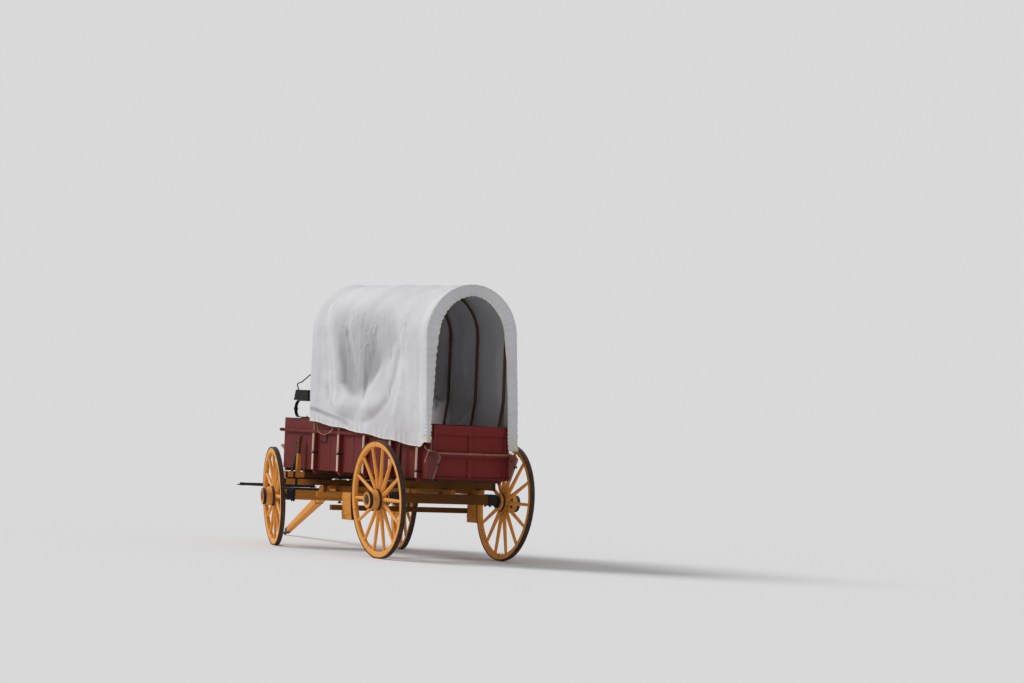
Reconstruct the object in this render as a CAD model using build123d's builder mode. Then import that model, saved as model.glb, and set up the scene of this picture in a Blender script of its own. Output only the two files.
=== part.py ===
from build123d import *
from math import asin, atan, cos, hypot, radians, sin, tan
import os

os.makedirs("parts", exist_ok=True)

# A horse-drawn covered wagon, in millimetres: +X forward, +Y to the wagon's left, +Z up.
# Lengths along X are counted forward from the rear axle, lengths along Y from the wagon's centre
# plane. The part's origin is on the ground, in the middle of the overall box.
ORIGIN_X = 2592
ORIGIN_Y = -161

# Wheels
REAR_WHEEL_D = 1320
FRONT_WHEEL_D = 1168
TYRE_WIDTH = 54
TYRE_THICK = 13
FELLOE_WIDTH = 50
FELLOE_DEPTH = 58
REAR_SPOKES = 14
FRONT_SPOKES = 12
CAMBER = 3.4
WHEEL_TRACK = 1594
WHEELBASE = 2765
STEER = -13
SEAM = 0.2
HUB_BACK = -95
HUB_NOSE = 147
HUB_SPOKE_R = 118
HUB_BORE_R = 32
NOSE_CUP_R = 62
NOSE_CUP_DEPTH = 32
SPOKE_HUB_Z = -18
SPOKE_FOOT = (46, 44)
SPOKE_TIP = (32, 30)
SPOKE_FOOT_EASE = 13
SPOKE_TIP_EASE = 9
FELLOE_EASE = 9
RUNNING_GAP = 0.06
SKEIN_NUT_R = 46
SKEIN_NUT = 22

# Box
BOX_WIDTH = 980
BOX_FRONT = 3360
BOX_REAR = -640
BOARD = 22
FLOOR_Z = 920
FLOOR_THICK = 25
TAIL_Z = 1190
RAIL_Z = 1355
RAIL_HEIGHT = 38
TOP_Z = 1520
RAIL_OUT = 30
TAIL_LOW = 70
TAIL_HIGH = 235
SILL_HEIGHT = 34
CLEAT = 45
CLEAT_FOOT_Z = 874
CLEAT_TAPER_Z = 915
CLEAT_TOE = 14
ROD_Y = 300
ROD_HOLE_R = 11
BATTEN = 20
GATE_GAP = 6
GATE_BATTEN = 18
GATE_STILE = 46
BAR_SIZE = (30, 40)

# Bows and bonnet
BOW_SPACING = 700
FIRST_BOW_X = 2470
BOW_COUNT = 5
BOW_THICK = 14
BOW_WIDTH = 45
ARCH_R = 565
ARCH_Z = 2515
CANVAS = 10
FLARE_TOP_Z = 1800
BONNET_FRONT = 2520
BONNET_REAR = -705
HEM_FRONT_Z = 1500
HEM_REAR_Z = 1250
RIM_IN = 110
BOW_FOOT = 15
BOW_KNEE = 60
HEM_Y = 545
ROPE_R = 4

# Running gear
AXLE_WIDTH = 95
REACH_WIDTH = 60
REACH_HEIGHT = 52
REACH_FRONT_Z = 671
REACH_REAR_Z = 744
REAR_AXLE_TOP = 744
FRONT_AXLE_TOP = 665
SAND_BOARD_Z = 730
SAND_BOARD_HEIGHT = 68
BOLSTER_TOP = FLOOR_Z - SILL_HEIGHT
KING_BOLT_R = 13
STAKE_Y = 560
STAKE_TOP = 1288
PLATE = 8
PLATE_R = 75
BOLT_HEAD_R = 25
BOLT_HEAD = 14
BOLT_FOOT_Z = 522
TURN_GAP = 5
AXLE_HEIGHT = 114
AXLE_HALF = WHEEL_TRACK / 2 + HUB_BACK - 40
FRONT_BOLSTER_HALF = 745
REAR_BOLSTER_HALF = 640
BOLSTER_WIDTH = 100
STAKE_THICK = 44
SAND_BOARD = (90, 1400)
SWAY_BAR = (60, 820, 56)
SWAY_BAR_X = -615
JAW_Y = 52
TONGUE_PIN_R = 14

# Seat, footboard and brake
SEAT_X = (2800, 3200)
SEAT_Z = 1755
SEAT_HALF = 455
SEAT_BOARD = 22
SEAT_END = 102
SEAT_ROD_R = 7
SPRING_LEAF = 9
SPRING_BEND_X = 3095
SPRING_Y = 430
BRAKE_BEAM_X = (905, 970)
BRAKE_BEAM_Z = (500, 560)
BRAKE_BEAM_HALF = 950
BRAKE_BLOCK_X = 600
BRAKE_BLOCK_Z = (400, 705)
BRAKE_ROD_R = 7
LEVER_SHAFT_X = 3072
LEVER_SHAFT_R = 10
SHOE_GAP = 22

# Tongue and draught bars
TONGUE_PIVOT_X = 500
TONGUE_PIVOT_Z = 697
TONGUE_LENGTH = 2950
TONGUE_TIP_R = 24
TONGUE_TIP_LENGTH = 120
POLE_HALF = 44
DOUBLETREE_X = 540
DOUBLETREE_LENGTH = 1210
DOUBLETREE_THICK = 42
SINGLETREE_LENGTH = 905
SINGLETREE_R = 23
TREE_GAP = 5
TREE_PIN_R = 9
HAMMER_PIN_R = 12

half_box = BOX_WIDTH / 2
inner_y = half_box - BOARD
bow_stations = [FIRST_BOW_X - BOW_SPACING * i for i in range(BOW_COUNT)]
cleat_stations = [x - CLEAT - 22 for x in bow_stations]


def spot(x, y, z):
    """A point counted from the rear axle and the centre plane, in the part's frame."""
    return Vector(x - ORIGIN_X, y - ORIGIN_Y, z)


def block(x_span, y_span, z_span, mode=Mode.ADD):
    """Adds one straight timber to the piece that is being built."""
    spans = (x_span, y_span, z_span)
    with Locations(spot(*[sum(span) / 2 for span in spans])):
        Box(*[span[1] - span[0] for span in spans], mode=mode)


def turned(plane, x, y, z):
    """A point of a turned plane, in the part's frame."""
    return plane.from_local_coords(Vector(x, y, z))


# The pole slopes down until its round tip lies on the ground
tongue_drop = asin(TONGUE_PIVOT_Z / hypot(TONGUE_LENGTH, TONGUE_TIP_R)) - atan(TONGUE_TIP_R / TONGUE_LENGTH)

# Planes of the turning parts
gear_plane = Plane(
    origin=spot(WHEELBASE, 0, 0),
    x_dir=(cos(radians(STEER)), sin(radians(STEER)), 0),
    z_dir=(0, 0, 1),
)
root_plane = Plane(origin=spot(0, 0, 0), x_dir=(1, 0, 0), z_dir=(0, 0, 1))
pole_dir = gear_plane.x_dir * cos(tongue_drop) - Vector(0, 0, sin(tongue_drop))
pole_up = gear_plane.x_dir * sin(tongue_drop) + Vector(0, 0, cos(tongue_drop))
pole_plane = Plane(
    origin=turned(gear_plane, TONGUE_PIVOT_X, 0, TONGUE_PIVOT_Z), x_dir=pole_dir, z_dir=pole_up
)


def wheel_plane(carrier, side, diameter):
    """The plane of a wheel's rim, its normal along the axle arm that points out and a little down."""
    lean = radians(CAMBER)
    height = diameter / 2 * cos(lean) + TYRE_WIDTH / 2 * sin(lean)
    out = carrier.y_dir * (side * cos(lean)) - Vector(0, 0, sin(lean))
    return Plane(
        origin=turned(carrier, 0, side * WHEEL_TRACK / 2, height), x_dir=carrier.x_dir, z_dir=out
    )


def section_of(plane):
    """The half-plane through a wheel's axis: sketch x is the radius and sketch y runs along the axle."""
    return Plane(origin=plane.origin, x_dir=plane.x_dir, z_dir=-plane.y_dir)


hub_profile = [
    # radius, place along the axle from the middle of the rim
    (HUB_BORE_R, HUB_BACK),
    (90, HUB_BACK),
    (98, -74),
    (103, -50),
    (HUB_SPOKE_R, -45),
    (HUB_SPOKE_R, 9),
    (113, 40),
    (97, 104),
    (90, HUB_NOSE),
    (NOSE_CUP_R, HUB_NOSE),
    (NOSE_CUP_R, HUB_NOSE - NOSE_CUP_DEPTH),
    (HUB_BORE_R, HUB_NOSE - NOSE_CUP_DEPTH),
]


def build_wheel(name, plane, diameter, spoke_count):
    """A dished wooden wheel: turned hub, tapered spokes, bent rim and shrunk iron tyre."""
    radius = diameter / 2
    felloe_outer = radius - TYRE_THICK - SEAM
    felloe_inner = felloe_outer - FELLOE_DEPTH
    spin = Axis(plane.origin, plane.z_dir)

    with BuildPart() as tyre:
        with BuildSketch(section_of(plane)):
            with Locations((radius - TYRE_THICK / 2, 0)):
                Rectangle(TYRE_THICK, TYRE_WIDTH)
        revolve(axis=spin)
    tyre.part.label = f"{name}_tyre"
    export_step(tyre.part, f"parts/{name}_tyre.step")

    with BuildPart() as felloes:
        with BuildSketch(section_of(plane)):
            with Locations((felloe_outer - FELLOE_DEPTH / 2, 0)):
                rim = Rectangle(FELLOE_DEPTH, FELLOE_WIDTH)
            chamfer(rim.vertices().sort_by(Axis.X)[:2], FELLOE_EASE)
        revolve(axis=spin)
    felloes.part.label = f"{name}_felloes"
    export_step(felloes.part, f"parts/{name}_felloes.step")

    with BuildPart() as hub:
        with BuildSketch(section_of(plane)):
            with BuildLine():
                Polyline(*hub_profile, close=True)
            make_face()
        revolve(axis=spin)
    hub.part.label = f"{name}_hub"
    export_step(hub.part, f"parts/{name}_hub.step")

    with BuildPart() as spoke:
        with BuildSketch(Plane.YZ.offset(HUB_SPOKE_R - 12)):
            with Locations((0, SPOKE_HUB_Z)):
                foot = Rectangle(*SPOKE_FOOT)
            chamfer(foot.vertices(), SPOKE_FOOT_EASE)
        with BuildSketch(Plane.YZ.offset(felloe_inner + 6)):
            tip = Rectangle(*SPOKE_TIP)
            chamfer(tip.vertices(), SPOKE_TIP_EASE)
        loft()
    with BuildPart(plane) as spokes:
        with PolarLocations(0, spoke_count):
            add(spoke.part)
        with BuildSketch(plane):
            Circle(felloe_inner - SEAM)
            Circle(HUB_SPOKE_R + SEAM, mode=Mode.SUBTRACT)
        extrude(amount=FELLOE_WIDTH, both=True, mode=Mode.INTERSECT)
    spokes.part.label = f"{name}_spokes"
    export_step(spokes.part, f"parts/{name}_spokes.step")


wheel_table = [
    # name, plane, diameter, spokes
    ("rear_left", wheel_plane(root_plane, 1, REAR_WHEEL_D), REAR_WHEEL_D, REAR_SPOKES),
    ("rear_right", wheel_plane(root_plane, -1, REAR_WHEEL_D), REAR_WHEEL_D, REAR_SPOKES),
    ("front_left", wheel_plane(gear_plane, 1, FRONT_WHEEL_D), FRONT_WHEEL_D, FRONT_SPOKES),
    ("front_right", wheel_plane(gear_plane, -1, FRONT_WHEEL_D), FRONT_WHEEL_D, FRONT_SPOKES),
]
for name, plane, diameter, spoke_count in wheel_table:
    build_wheel(name, plane, diameter, spoke_count)


arm_r = HUB_BORE_R - RUNNING_GAP
nut_z = HUB_NOSE - NOSE_CUP_DEPTH + 6
skein_profile = [
    # radius, place along the axle from the middle of the rim
    (0, HUB_BACK - 60),
    (44, HUB_BACK - 60),
    (48, HUB_BACK - 26),
    (70, HUB_BACK - 26),
    (70, HUB_BACK - 6),
    (arm_r, HUB_BACK - 6),
    (arm_r, nut_z),
    (0, nut_z),
]


def build_skeins(name, planes):
    """Iron arms on an axle's two ends: collar, round arm in the hub, and the nut in the hub's nose."""
    with BuildPart() as skeins:
        for plane in planes:
            with BuildSketch(section_of(plane)):
                with BuildLine():
                    Polyline(*skein_profile, close=True)
                make_face()
            revolve(axis=Axis(plane.origin, plane.z_dir))
            with BuildSketch(plane.offset(nut_z)):
                RegularPolygon(SKEIN_NUT_R, 6)
            extrude(amount=SKEIN_NUT)
    skeins.part.label = name
    export_step(skeins.part, f"parts/{name}.step")


build_skeins("rear_skeins", [row[1] for row in wheel_table[:2]])
build_skeins("front_skeins", [row[1] for row in wheel_table[2:]])

# Box: floor, cross sills, sides with raked tails, top boards, rails and cleats
with BuildPart() as box_floor:
    block((BOX_REAR - 20, BOX_FRONT), (-inner_y, inner_y), (FLOOR_Z, FLOOR_Z + FLOOR_THICK))
box_floor.part.label = "box_floor"
export_step(box_floor.part, "parts/box_floor.step")

ROD_Z = FLOOR_Z - SILL_HEIGHT / 2
sill_stations = [BOX_FRONT - 60, WHEELBASE, 0] + cleat_stations
with BuildPart() as cross_sills:
    for x in sill_stations:
        block((x - CLEAT / 2, x + CLEAT / 2), (-half_box, half_box), (FLOOR_Z - SILL_HEIGHT, FLOOR_Z))
    with Locations(Plane(origin=spot(BOX_FRONT / 2, ROD_Y, ROD_Z), z_dir=(1, 0, 0))):
        Cylinder(ROD_HOLE_R, BOX_FRONT * 2, mode=Mode.SUBTRACT)
cross_sills.part.label = "cross_sills"
export_step(cross_sills.part, "parts/cross_sills.step")

with BuildPart() as side_boards:
    for side in (1, -1):
        outline_plane = Plane(
            origin=spot(0, side * (half_box - BOARD / 2), 0), x_dir=(1, 0, 0), z_dir=(0, -1, 0)
        )
        with BuildSketch(outline_plane):
            with BuildLine():
                Polyline(
                    (BOX_REAR - TAIL_LOW, FLOOR_Z), (BOX_FRONT, FLOOR_Z), (BOX_FRONT, RAIL_Z),
                    (BOX_REAR, RAIL_Z), (BOX_REAR, TAIL_Z + 38), (BOX_REAR - TAIL_HIGH + 60, TAIL_Z + 22),
                    (BOX_REAR - TAIL_HIGH, TAIL_Z - 22), close=True,
                )
            make_face()
        extrude(amount=BOARD / 2, both=True)
side_boards.part.label = "side_boards"
export_step(side_boards.part, "parts/side_boards.step")

with BuildPart() as top_boards:
    for side in (1, -1):
        faces_y = sorted((side * half_box, side * (half_box - BOARD)))
        block((BOX_REAR, BOX_FRONT), faces_y, (RAIL_Z + RAIL_HEIGHT, TOP_Z))
top_boards.part.label = "top_boards"
export_step(top_boards.part, "parts/top_boards.step")

with BuildPart() as side_rails:
    for side in (1, -1):
        rail_y = sorted((side * (half_box - BOARD), side * (half_box + RAIL_OUT)))
        block((BOX_REAR, BOX_FRONT + 55), rail_y, (RAIL_Z, RAIL_Z + RAIL_HEIGHT))
        for x in bow_stations:
            slot_y = sorted((side * half_box, side * (half_box + BOW_THICK + 1)))
            slot_x = (x - BOW_WIDTH / 2 - 1, x + BOW_WIDTH / 2 + 1)
            block(slot_x, slot_y, (RAIL_Z - 1, RAIL_Z + RAIL_HEIGHT + 1), mode=Mode.SUBTRACT)
side_rails.part.label = "side_rails"
export_step(side_rails.part, "parts/side_rails.step")

with BuildPart() as side_cleats:
    for side in (1, -1):
        for x in cleat_stations:
            cleat_plane = Plane(origin=spot(x - CLEAT / 2, 0, 0), x_dir=(0, side, 0), z_dir=(side, 0, 0))
            with BuildSketch(cleat_plane):
                with BuildLine():
                    Polyline(
                        (half_box, RAIL_Z), (half_box + CLEAT, RAIL_Z), (half_box + CLEAT, CLEAT_TAPER_Z),
                        (half_box + CLEAT_TOE, CLEAT_FOOT_Z), (half_box, CLEAT_FOOT_Z), close=True,
                    )
                make_face()
            extrude(amount=CLEAT * side)
side_cleats.part.label = "side_cleats"
export_step(side_cleats.part, "parts/side_cleats.step")

with BuildPart() as front_gate:
    block((BOX_FRONT - BOARD, BOX_FRONT), (-inner_y, inner_y), (FLOOR_Z + FLOOR_THICK, TOP_Z))
    for y in (-inner_y + 40, 0, inner_y - 40):
        block((BOX_FRONT, BOX_FRONT + BATTEN), (y - 30, y + 30), (FLOOR_Z + FLOOR_THICK, TOP_Z))
front_gate.part.label = "front_gate"
export_step(front_gate.part, "parts/front_gate.step")

GATE_HALF = inner_y - GATE_GAP
GATE_X = (BOX_REAR + 4, BOX_REAR + 4 + BOARD)
gate_z = (FLOOR_Z + FLOOR_THICK + 0.5, TOP_Z)
with BuildPart() as end_gate:
    block(GATE_X, (-GATE_HALF, GATE_HALF), gate_z)
    gate_battens = [
        # y span, z span
        ((-GATE_HALF, GATE_HALF), (1412, TOP_Z)),
        ((-GATE_HALF, GATE_HALF), (1150, 1200)),
        ((-26, 26), gate_z),
        ((-GATE_HALF, -GATE_HALF + GATE_STILE), gate_z),
        ((GATE_HALF - GATE_STILE, GATE_HALF), gate_z),
    ]
    for y_span, z_span in gate_battens:
        block((GATE_X[0] - GATE_BATTEN, GATE_X[0]), y_span, z_span)
end_gate.part.label = "end_gate"
export_step(end_gate.part, "parts/end_gate.step")

bar_x = BOX_REAR - 26
bar_thick, bar_height = BAR_SIZE
with BuildPart() as end_gate_bar:
    block((bar_x - bar_thick, bar_x), (-inner_y, inner_y), (TAIL_Z - bar_height / 2, TAIL_Z + bar_height / 2))
end_gate_bar.part.label = "end_gate_bar"
export_step(end_gate_bar.part, "parts/end_gate_bar.step")

# Cleats inside the box and its tails, between which the end gate slides
with BuildPart() as gate_guides:
    for side in (1, -1):
        guide_y = sorted((side * (inner_y - 21), side * inner_y))
        block((GATE_X[1] + GATE_GAP, GATE_X[1] + GATE_GAP + BOARD), guide_y, (FLOOR_Z + FLOOR_THICK, TOP_Z))
        outer_x = GATE_X[0] - GATE_BATTEN - GATE_GAP
        block((outer_x - BOARD, outer_x), guide_y, (FLOOR_Z, TAIL_Z - bar_height / 2))
gate_guides.part.label = "gate_guides"
export_step(gate_guides.part, "parts/gate_guides.step")

# Bows: bent strips that stand in the rail's slots, flare out above it and meet in a half circle
bow_r = ARCH_R - CANVAS - 1 - BOW_THICK / 2
leg_y = half_box + BOW_THICK / 2 + 0.5
with BuildPart() as bows:
    for x in bow_stations:
        bow_plane = Plane(origin=spot(x, 0, 0), x_dir=(0, 1, 0), z_dir=(1, 0, 0))
        with BuildSketch(bow_plane.offset(-BOW_WIDTH / 2)):
            with BuildLine():
                Polyline((-leg_y, FLOOR_Z + BOW_FOOT), (-leg_y, TOP_Z - BOW_KNEE), (-bow_r, FLARE_TOP_Z),
                         (-bow_r, ARCH_Z))
                ThreePointArc((-bow_r, ARCH_Z), (0, ARCH_Z + bow_r), (bow_r, ARCH_Z))
                Polyline((bow_r, ARCH_Z), (bow_r, FLARE_TOP_Z), (leg_y, TOP_Z - BOW_KNEE),
                         (leg_y, FLOOR_Z + BOW_FOOT))
            trace(line_width=BOW_THICK)
        extrude(amount=BOW_WIDTH)
bows.part.label = "bows"
export_step(bows.part, "parts/bows.step")

# Bonnet: one sheet over the bows, drawn in round both mouths, its hem lower behind than in front
hem_slope = (HEM_FRONT_Z - HEM_REAR_Z) / (BONNET_FRONT - BONNET_REAR)
with BuildPart() as bonnet:
    arch_plane = Plane(origin=spot(BONNET_REAR, 0, 0), x_dir=(0, 1, 0), z_dir=(1, 0, 0))
    with BuildSketch(arch_plane):
        with BuildLine():
            Polyline((-HEM_Y, HEM_REAR_Z - 20), (-ARCH_R, FLARE_TOP_Z), (-ARCH_R, ARCH_Z))
            ThreePointArc((-ARCH_R, ARCH_Z), (0, ARCH_Z + ARCH_R), (ARCH_R, ARCH_Z))
            Polyline((ARCH_R, ARCH_Z), (ARCH_R, FLARE_TOP_Z), (HEM_Y, HEM_REAR_Z - 20),
                     (-HEM_Y, HEM_REAR_Z - 20))
        make_face()
    extrude(amount=BONNET_FRONT - BONNET_REAR)
    hollow_r = ARCH_R - CANVAS
    with BuildSketch(arch_plane.offset(CANVAS)):
        with BuildLine():
            Polyline((-HEM_Y + CANVAS, HEM_REAR_Z - 30), (-hollow_r, FLARE_TOP_Z), (-hollow_r, ARCH_Z))
            ThreePointArc((-hollow_r, ARCH_Z), (0, ARCH_Z + hollow_r), (hollow_r, ARCH_Z))
            Polyline((hollow_r, ARCH_Z), (hollow_r, FLARE_TOP_Z), (HEM_Y - CANVAS, HEM_REAR_Z - 30),
                     (-HEM_Y + CANVAS, HEM_REAR_Z - 30))
        make_face()
    extrude(amount=BONNET_FRONT - BONNET_REAR - 2 * CANVAS, mode=Mode.SUBTRACT)
    mouth_r = ARCH_R - RIM_IN
    with BuildSketch(arch_plane):
        with BuildLine():
            Polyline((-mouth_r, HEM_REAR_Z - 30), (-mouth_r, ARCH_Z))
            ThreePointArc((-mouth_r, ARCH_Z), (0, ARCH_Z + mouth_r), (mouth_r, ARCH_Z))
            Polyline((mouth_r, ARCH_Z), (mouth_r, HEM_REAR_Z - 30), (-mouth_r, HEM_REAR_Z - 30))
        make_face()
    extrude(amount=BONNET_FRONT - BONNET_REAR, mode=Mode.SUBTRACT)
    below_hem = Plane(origin=spot(0, 900, 0), x_dir=(1, 0, 0), z_dir=(0, -1, 0))
    with BuildSketch(below_hem):
        with BuildLine():
            Polyline(
                (BONNET_REAR - 50, HEM_REAR_Z - 50 * hem_slope),
                (BONNET_FRONT + 50, HEM_FRONT_Z + 50 * hem_slope),
                (BONNET_FRONT + 50, FLOOR_Z), (BONNET_REAR - 50, FLOOR_Z), close=True,
            )
        make_face()
    extrude(amount=1800, mode=Mode.SUBTRACT)
    block((BONNET_FRONT - 60, BONNET_FRONT + 20), (-half_box - 3, half_box + 3), (HEM_REAR_Z, TOP_Z + 4),
          mode=Mode.SUBTRACT)
bonnet.part.label = "bonnet"
export_step(bonnet.part, "parts/bonnet.step")

# Slack tie rope that hangs from the bonnet's hem on the left side
rope_route = [
    # x, y, z
    (2300, 549, 1482), (2300, 549, 1434), (2268, 551, 1388), (2204, 552, 1356), (2122, 552, 1343),
    (2034, 552, 1344), (1950, 551, 1362), (1884, 550, 1394), (1850, 549, 1420), (1842, 549, 1446),
]
rope_points = [spot(*p) for p in rope_route]
rope_runs = [after - before for before, after in zip(rope_points, rope_points[1:])]
rope_radii = [
    0.45 * min(before.length, after.length) / tan(radians(before.get_angle(after)) / 2)
    for before, after in zip(rope_runs, rope_runs[1:])
]
print("radii of the hem rope", [round(r) for r in rope_radii])
with BuildPart() as hem_rope:
    with BuildLine():
        FilletPolyline(*rope_points, radius=rope_radii)
    with BuildSketch(Plane(origin=rope_points[0], z_dir=rope_runs[0])):
        Circle(ROPE_R)
    sweep()
hem_rope.part.label = "hem_rope"
export_step(hem_rope.part, "parts/hem_rope.step")

# Seat on two bent leaf springs that hang on the top boards
with BuildPart() as seat:
    block((SEAT_X[0], SEAT_X[1] + 10), (-SEAT_HALF, SEAT_HALF), (SEAT_Z - SEAT_BOARD, SEAT_Z))
    for side in (1, -1):
        end_plane = Plane(origin=spot(0, side * (SEAT_HALF - 10), 0), x_dir=(1, 0, 0), z_dir=(0, -1, 0))
        with BuildSketch(end_plane):
            with BuildLine():
                Polyline((SEAT_X[0], SEAT_Z), (SEAT_X[1], SEAT_Z), (SEAT_X[1] - 35, SEAT_Z + SEAT_END),
                         (SEAT_X[0], SEAT_Z + SEAT_END), close=True)
            make_face()
        extrude(amount=10, both=True)
    block((SEAT_X[0], SEAT_X[0] + 20), (-SEAT_HALF, SEAT_HALF), (SEAT_Z, SEAT_Z + SEAT_END))
seat.part.label = "seat"
export_step(seat.part, "parts/seat.step")

with BuildPart() as seat_back:
    rail_route = [
        # x, y, z of the bent rod, from one end panel round behind the seat to the other
        (3100, SEAT_HALF - 10, SEAT_Z + SEAT_END + 5),
        (3160, SEAT_HALF - 10, SEAT_Z + SEAT_END + 70),
        (3010, SEAT_HALF - 10, SEAT_Z + SEAT_END + 96),
        (2780, SEAT_HALF - 10, SEAT_Z + SEAT_END + 183),
    ]
    back_points = [spot(*p) for p in rail_route + [(x, -y, z) for x, y, z in reversed(rail_route)]]
    with BuildLine():
        FilletPolyline(*back_points, radius=20)
    with BuildSketch(Plane(origin=back_points[0], z_dir=back_points[1] - back_points[0])):
        Circle(SEAT_ROD_R)
    sweep()
seat_back.part.label = "seat_back"
export_step(seat_back.part, "parts/seat_back.step")

spring_top = SEAT_Z - SEAT_BOARD - SPRING_LEAF / 2 - 0.3
spring_foot = TOP_Z + 9 + SPRING_LEAF / 2
spring_r = (spring_top - spring_foot) / 2
with BuildPart() as seat_springs:
    for side in (1, -1):
        spring_plane = Plane(
            origin=spot(0, side * SPRING_Y, 0), x_dir=(1, 0, 0), z_dir=(0, -1, 0)
        )
        with BuildSketch(spring_plane):
            with BuildLine():
                Line((SEAT_X[0], spring_top), (SPRING_BEND_X, spring_top))
                ThreePointArc((SPRING_BEND_X, spring_top), (SPRING_BEND_X + spring_r, spring_top - spring_r),
                              (SPRING_BEND_X, spring_foot))
                Line((SPRING_BEND_X, spring_foot), (SEAT_X[0] + 40, spring_foot))
            trace(line_width=SPRING_LEAF)
        extrude(amount=19, both=True)
        hanger_y = sorted((side * (half_box - 85), side * (half_box + 6)))
        block((2830, 2890), hanger_y, (TOP_Z + 0.3, TOP_Z + 9))
seat_springs.part.label = "seat_springs"
export_step(seat_springs.part, "parts/seat_springs.step")

with BuildPart() as footboard:
    with BuildSketch(Plane(origin=spot(0, 0, 0), x_dir=(1, 0, 0), z_dir=(0, -1, 0))):
        with BuildLine():
            Polyline((BOX_FRONT + 20.3, 1120), (BOX_FRONT + 150, 1175), (BOX_FRONT + 142, 1196),
                     (BOX_FRONT + 20.3, 1144), close=True)
        make_face()
    extrude(amount=inner_y, both=True)
footboard.part.label = "footboard"
export_step(footboard.part, "parts/footboard.step")

with BuildPart() as footboard_brackets:
    for y in (inner_y - 40, 40 - inner_y):
        with BuildSketch(Plane(origin=spot(0, y, 0), x_dir=(1, 0, 0), z_dir=(0, -1, 0))):
            with BuildLine():
                Polyline((BOX_FRONT + 20.3, 1010), (BOX_FRONT + 120, 1161.8), (BOX_FRONT + 105, 1155.5),
                         (BOX_FRONT + 20.3, 1032), close=True)
            make_face()
        extrude(amount=13, both=True)
footboard_brackets.part.label = "footboard_brackets"
export_step(footboard_brackets.part, "parts/footboard_brackets.step")

# Bolsters with stakes, axles, reach and hounds
REAR_BOLSTER_Z = REACH_REAR_Z + REACH_HEIGHT
FRONT_BOLSTER_Z = SAND_BOARD_Z + SAND_BOARD_HEIGHT + 2 * PLATE + TURN_GAP


def build_bolster(name, x, z, half_length):
    """A bolster with a tapered stake near each end, outside the box."""
    with BuildPart() as bolster:
        block((x - BOLSTER_WIDTH / 2, x + BOLSTER_WIDTH / 2), (-half_length, half_length), (z, BOLSTER_TOP))
        for side in (1, -1):
            stake_plane = Plane(origin=spot(x, side * STAKE_Y, 0), x_dir=(0, side, 0), z_dir=(side, 0, 0))
            with BuildSketch(stake_plane):
                with BuildLine():
                    Polyline((-22, BOLSTER_TOP), (26, BOLSTER_TOP), (8, STAKE_TOP), (-18, STAKE_TOP),
                             close=True)
                make_face()
            extrude(amount=STAKE_THICK / 2, both=True)
        if x > 0:
            with Locations(spot(x, 0, z - PLATE / 2)):
                Cylinder(PLATE_R, PLATE)
            with Locations(spot(x, 0, BOLSTER_TOP)):
                CounterBoreHole(KING_BOLT_R + SEAM, BOLT_HEAD_R + SEAM, BOLT_HEAD)
    bolster.part.label = name
    export_step(bolster.part, f"parts/{name}.step")


build_bolster("front_bolster", WHEELBASE, FRONT_BOLSTER_Z, FRONT_BOLSTER_HALF)
build_bolster("rear_bolster", 0, REAR_BOLSTER_Z, REAR_BOLSTER_HALF)

with BuildPart() as rear_axle:
    axle_z = (REAR_AXLE_TOP - AXLE_HEIGHT, REAR_AXLE_TOP)
    block((-AXLE_WIDTH / 2, AXLE_WIDTH / 2), (-AXLE_HALF, AXLE_HALF), axle_z)
    for row in wheel_table[:2]:
        with Locations(row[1].offset(HUB_BACK - 60)):
            Cylinder(49, 80, mode=Mode.SUBTRACT)
rear_axle.part.label = "rear_axle"
export_step(rear_axle.part, "parts/rear_axle.step")

with BuildPart() as reach:
    with BuildSketch(Plane(origin=spot(0, 0, 0), x_dir=(1, 0, 0), z_dir=(0, -1, 0))):
        with BuildLine():
            Polyline(
                (WHEELBASE + 70, REACH_FRONT_Z), (WHEELBASE + 70, REACH_FRONT_Z + REACH_HEIGHT),
                (60, REACH_REAR_Z + REACH_HEIGHT), (-260, REACH_REAR_Z + REACH_HEIGHT),
                (-260, REACH_REAR_Z), (60, REACH_REAR_Z), close=True,
            )
        make_face()
    extrude(amount=REACH_WIDTH / 2, both=True)
    with Locations(spot(WHEELBASE, 0, REACH_FRONT_Z)):
        Cylinder(KING_BOLT_R + SEAM, 200, mode=Mode.SUBTRACT)
reach.part.label = "reach"
export_step(reach.part, "parts/reach.step")

with BuildPart() as rear_hounds:
    for side in (1, -1):
        with BuildSketch(Plane.XY.offset(REACH_REAR_Z)):
            with BuildLine():
                Polyline(*[spot(x, side * y, 0) for x, y in (
                    (-130, 390), (-130, 450), (1150, REACH_WIDTH / 2 + 58), (1150, REACH_WIDTH / 2 + 1),
                )], close=True)
            make_face()
        extrude(amount=REACH_HEIGHT)
rear_hounds.part.label = "rear_hounds"
export_step(rear_hounds.part, "parts/rear_hounds.step")

with BuildPart() as king_bolt:
    with Locations(spot(WHEELBASE, 0, (BOLSTER_TOP + BOLT_FOOT_Z) / 2)):
        Cylinder(KING_BOLT_R, BOLSTER_TOP - BOLT_FOOT_Z)
    with Locations(spot(WHEELBASE, 0, BOLSTER_TOP - BOLT_HEAD / 2)):
        Cylinder(BOLT_HEAD_R, BOLT_HEAD)
    with Locations(spot(WHEELBASE, 0, BOLT_FOOT_Z + BOLT_HEAD / 2)):
        Cylinder(BOLT_HEAD_R, BOLT_HEAD)
king_bolt.part.label = "king_bolt"
export_step(king_bolt.part, "parts/king_bolt.step")

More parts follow.
